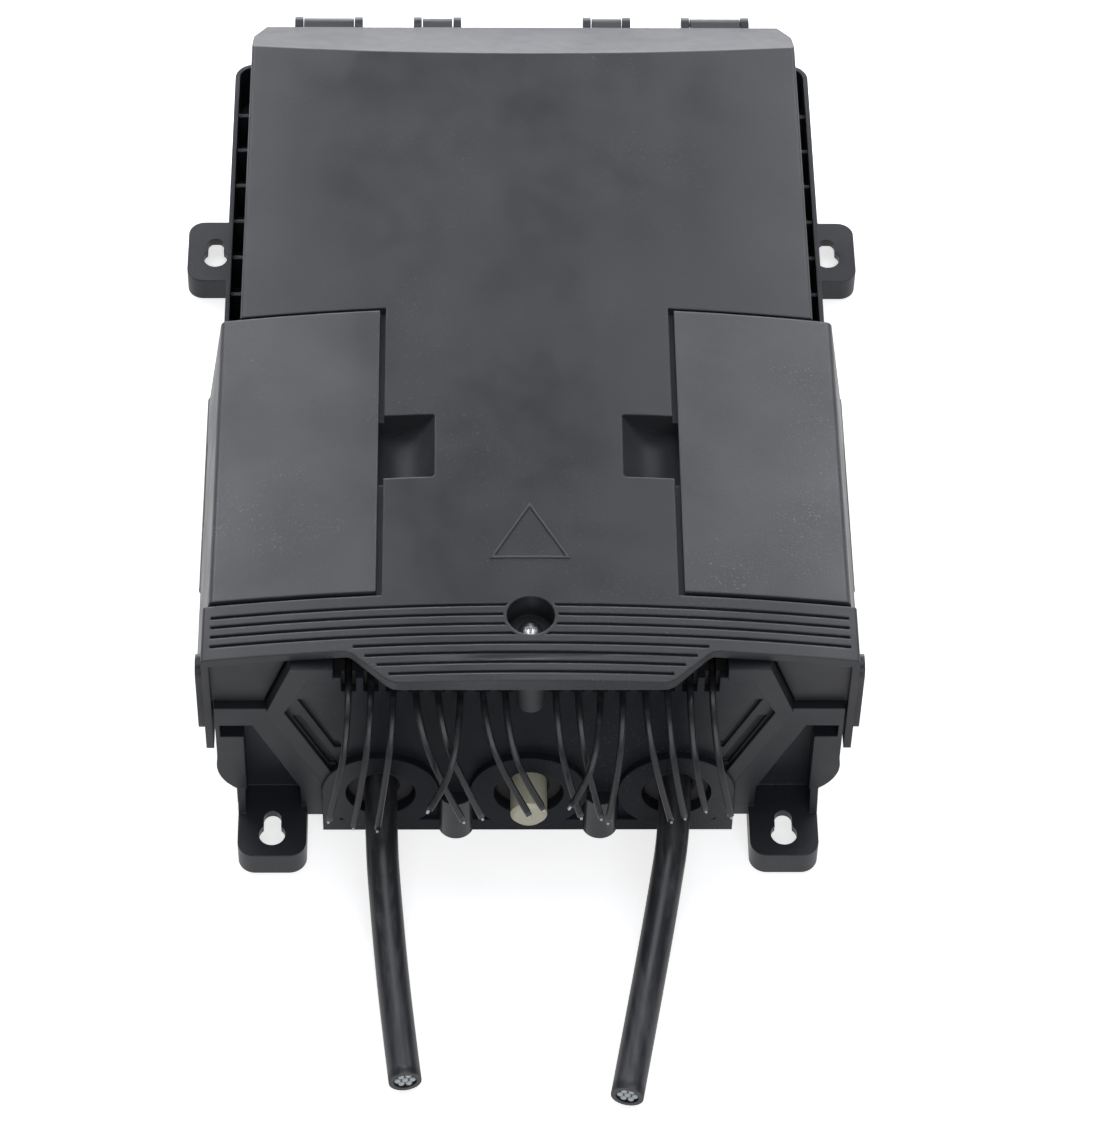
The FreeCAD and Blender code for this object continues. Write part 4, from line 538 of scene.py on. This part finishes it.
drop_section = flat_section(DROP_WIDTH, DROP_HEIGHT, DROP_CORNER, DROP_WAIST)
drop_wires = [(0.0, WIRE_OFFSET, WIRE_RADIUS, WIRE_PROUD, WIRE_PROUD),
              (0.0, -WIRE_OFFSET, WIRE_RADIUS, WIRE_PROUD, WIRE_PROUD * WIRE_LOWER_SHARE),
              (0.0, 0.0, FIBRE_RADIUS, WIRE_PROUD, WIRE_PROUD * FIBRE_SHARE)]
drop_places = [-(DROP_FIRST + DROP_PITCH * step) for step in reversed(range(DROP_EACH_SIDE))]
drop_places += [DROP_FIRST + DROP_PITCH * step for step in range(DROP_EACH_SIDE)]
for number, (x, tail) in enumerate(zip(drop_places, DROP_TAILS), 1):
    line = route_line([(x, y, z) for y, z in DROP_STARTS] + tail)
    drop, end = sweep("drop_jacket_%02d" % number, line, drop_section, LOOKS["drop_jacket"])
    core = end_rods("drop_wires_%02d" % number, end, drop_wires, "strength_wire", WIRE_SIDES)
    hang(drop, "drop_cable_%02d" % number)

# A plain triangle moulded on the cover's crown: corners, and the rib's section as (inset, height over it)
TRIANGLE = [Vector((0.0, -92.0 * MM)), Vector((-13.7 * MM, -116.4 * MM)), Vector((13.7 * MM, -116.4 * MM))]
TRIANGLE_RIB = [(0.0, -0.15 * MM), (0.2 * MM, 0.2 * MM), (0.45 * MM, 0.3 * MM), (0.85 * MM, 0.3 * MM),
                (1.1 * MM, 0.2 * MM), (1.3 * MM, -0.15 * MM)]
TRIANGLE_STEPS = 14
CROWN_HEIGHT = 100 * MM
CROWN_RADIUS = 730 * MM


def crown(x):
    """The height of the cover's crown at a place across it."""
    return CROWN_HEIGHT - CROWN_RADIUS + math.sqrt(CROWN_RADIUS ** 2 - x * x)


def add_triangle():
    sides = [(second - first).length for first, second in zip(TRIANGLE, TRIANGLE[1:] + TRIANGLE[:1])]
    weights = [sides[1], sides[2], sides[0]]
    middle = sum((corner * weight for corner, weight in zip(TRIANGLE, weights)), Vector((0, 0))) / sum(sides)
    room = middle.y - TRIANGLE[1].y
    build = bmesh.new()
    rings = []
    for inset, height in TRIANGLE_RIB:
        corners = [middle + (corner - middle) * (room - inset) / room for corner in TRIANGLE]
        ring = []
        for first, second in zip(corners, corners[1:] + corners[:1]):
            for step in range(TRIANGLE_STEPS):
                point = first.lerp(second, step / TRIANGLE_STEPS)
                ring.append(build.verts.new((point.x, point.y, crown(point.x) + height)))
        rings.append(ring)
    for first, second in zip(rings, rings[1:] + rings[:1]):
        bridge(build, first, second)
    piece = add_piece("moulded_triangle", build, LOOKS["cover_plastic"])
    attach(piece, "cover")


add_triangle()

# Stage: a pale floor, white to the camera away from the box and in reflections, and soft lamps
FLOOR_REACH = 6.0
FLOOR_DROP = 0.2 * MM
FLOOR_ROUGHNESS = 0.9
FLOOR_LIT = (0.2, 0.2, 0.21)
FLOOR_SEEN = (0.86, 0.86, 0.86)
GLOW_SPAN = (0.4, 1.2)
GLOW_SEEN = (0.72, 1.0)
GLOW_REFLECTED = 0.8
WHITE = (1, 1, 1, 1)
WORLD_STRENGTH = 0.12
WORLD_SEEN = 1.0
LAMP_COLOUR = (0.93, 0.95, 1.0)
SOFTBOXES = {
    "sheen_left": dict(where=(-0.95, 1.1, 1.25), target=(0, 0.05, 0.05), width=0.9, height=0.9, watts=11),
    "sheen_right": dict(where=(0.95, 1.1, 1.25), target=(0, 0.05, 0.05), width=0.9, height=0.9, watts=10),
    "top": dict(where=(0, 0.2, 1.9), target=(0, 0, 0), width=1.0, height=1.0, watts=11),
    "behind": dict(where=(0, 1.1, 0.25), target=(0, 0.1, 0.08), width=1.4, height=0.5, watts=12),
    "front": dict(where=(0.2, -1.5, 0.9), target=(0, 0, 0.05), width=1.2, height=0.8, watts=8),
}


def add_floor():
    mesh = bpy.data.meshes.new("floor")
    corners = [(-FLOOR_REACH, -FLOOR_REACH, 0), (FLOOR_REACH, -FLOOR_REACH, 0),
               (FLOOR_REACH, FLOOR_REACH, 0), (-FLOOR_REACH, FLOOR_REACH, 0)]
    mesh.from_pydata(corners, [], [(0, 1, 2, 3)])
    floor = bpy.data.objects.new("floor", mesh)
    floor.location.z = -FLOOR_DROP
    scene.collection.objects.link(floor)
    material, tree, shader = new_material("floor")
    shader.inputs["Roughness"].default_value = FLOOR_ROUGHNESS
    ray = place(tree, "ShaderNodeLightPath")
    tree.links.new(mix_colours(tree, ray.outputs["Is Camera Ray"], FLOOR_LIT, FLOOR_SEEN),
                   shader.inputs["Base Color"])
    shader.inputs["Emission Color"].default_value = WHITE
    away = place(tree, "ShaderNodeVectorMath", operation="LENGTH")
    tree.links.new(place(tree, "ShaderNodeTexCoord").outputs["Object"], away.inputs[0])
    pale = spread(tree, away.outputs["Value"], *GLOW_SPAN, *GLOW_SEEN)
    glow = calculate(tree, "MAXIMUM", calculate(tree, "MULTIPLY", ray.outputs["Is Camera Ray"], pale),
                     calculate(tree, "MULTIPLY", ray.outputs["Is Glossy Ray"], GLOW_REFLECTED))
    tree.links.new(glow, shader.inputs["Emission Strength"])
    mesh.materials.append(material)


def add_world():
    world = bpy.data.worlds.new("world")
    world.use_nodes = True
    tree = world.node_tree
    background = tree.nodes["Background"]
    background.inputs["Color"].default_value = WHITE
    ray = place(tree, "ShaderNodeLightPath")
    tree.links.new(spread(tree, ray.outputs["Is Camera Ray"], 0, 1, WORLD_STRENGTH, WORLD_SEEN),
                   background.inputs["Strength"])
    scene.world = world


def add_softbox(name, where, target, width, height, watts):
    data = bpy.data.lights.new(name, "AREA")
    data.shape = "RECTANGLE"
    data.size = width
    data.size_y = height
    data.energy = watts
    data.color = LAMP_COLOUR
    lamp = bpy.data.objects.new(name, data)
    lamp.location = where
    lamp.rotation_euler = (Vector(target) - Vector(where)).to_track_quat("-Z", "Y").to_euler()
    scene.collection.objects.link(lamp)


add_floor()
add_world()
for name, settings in SOFTBOXES.items():
    add_softbox(name, **settings)
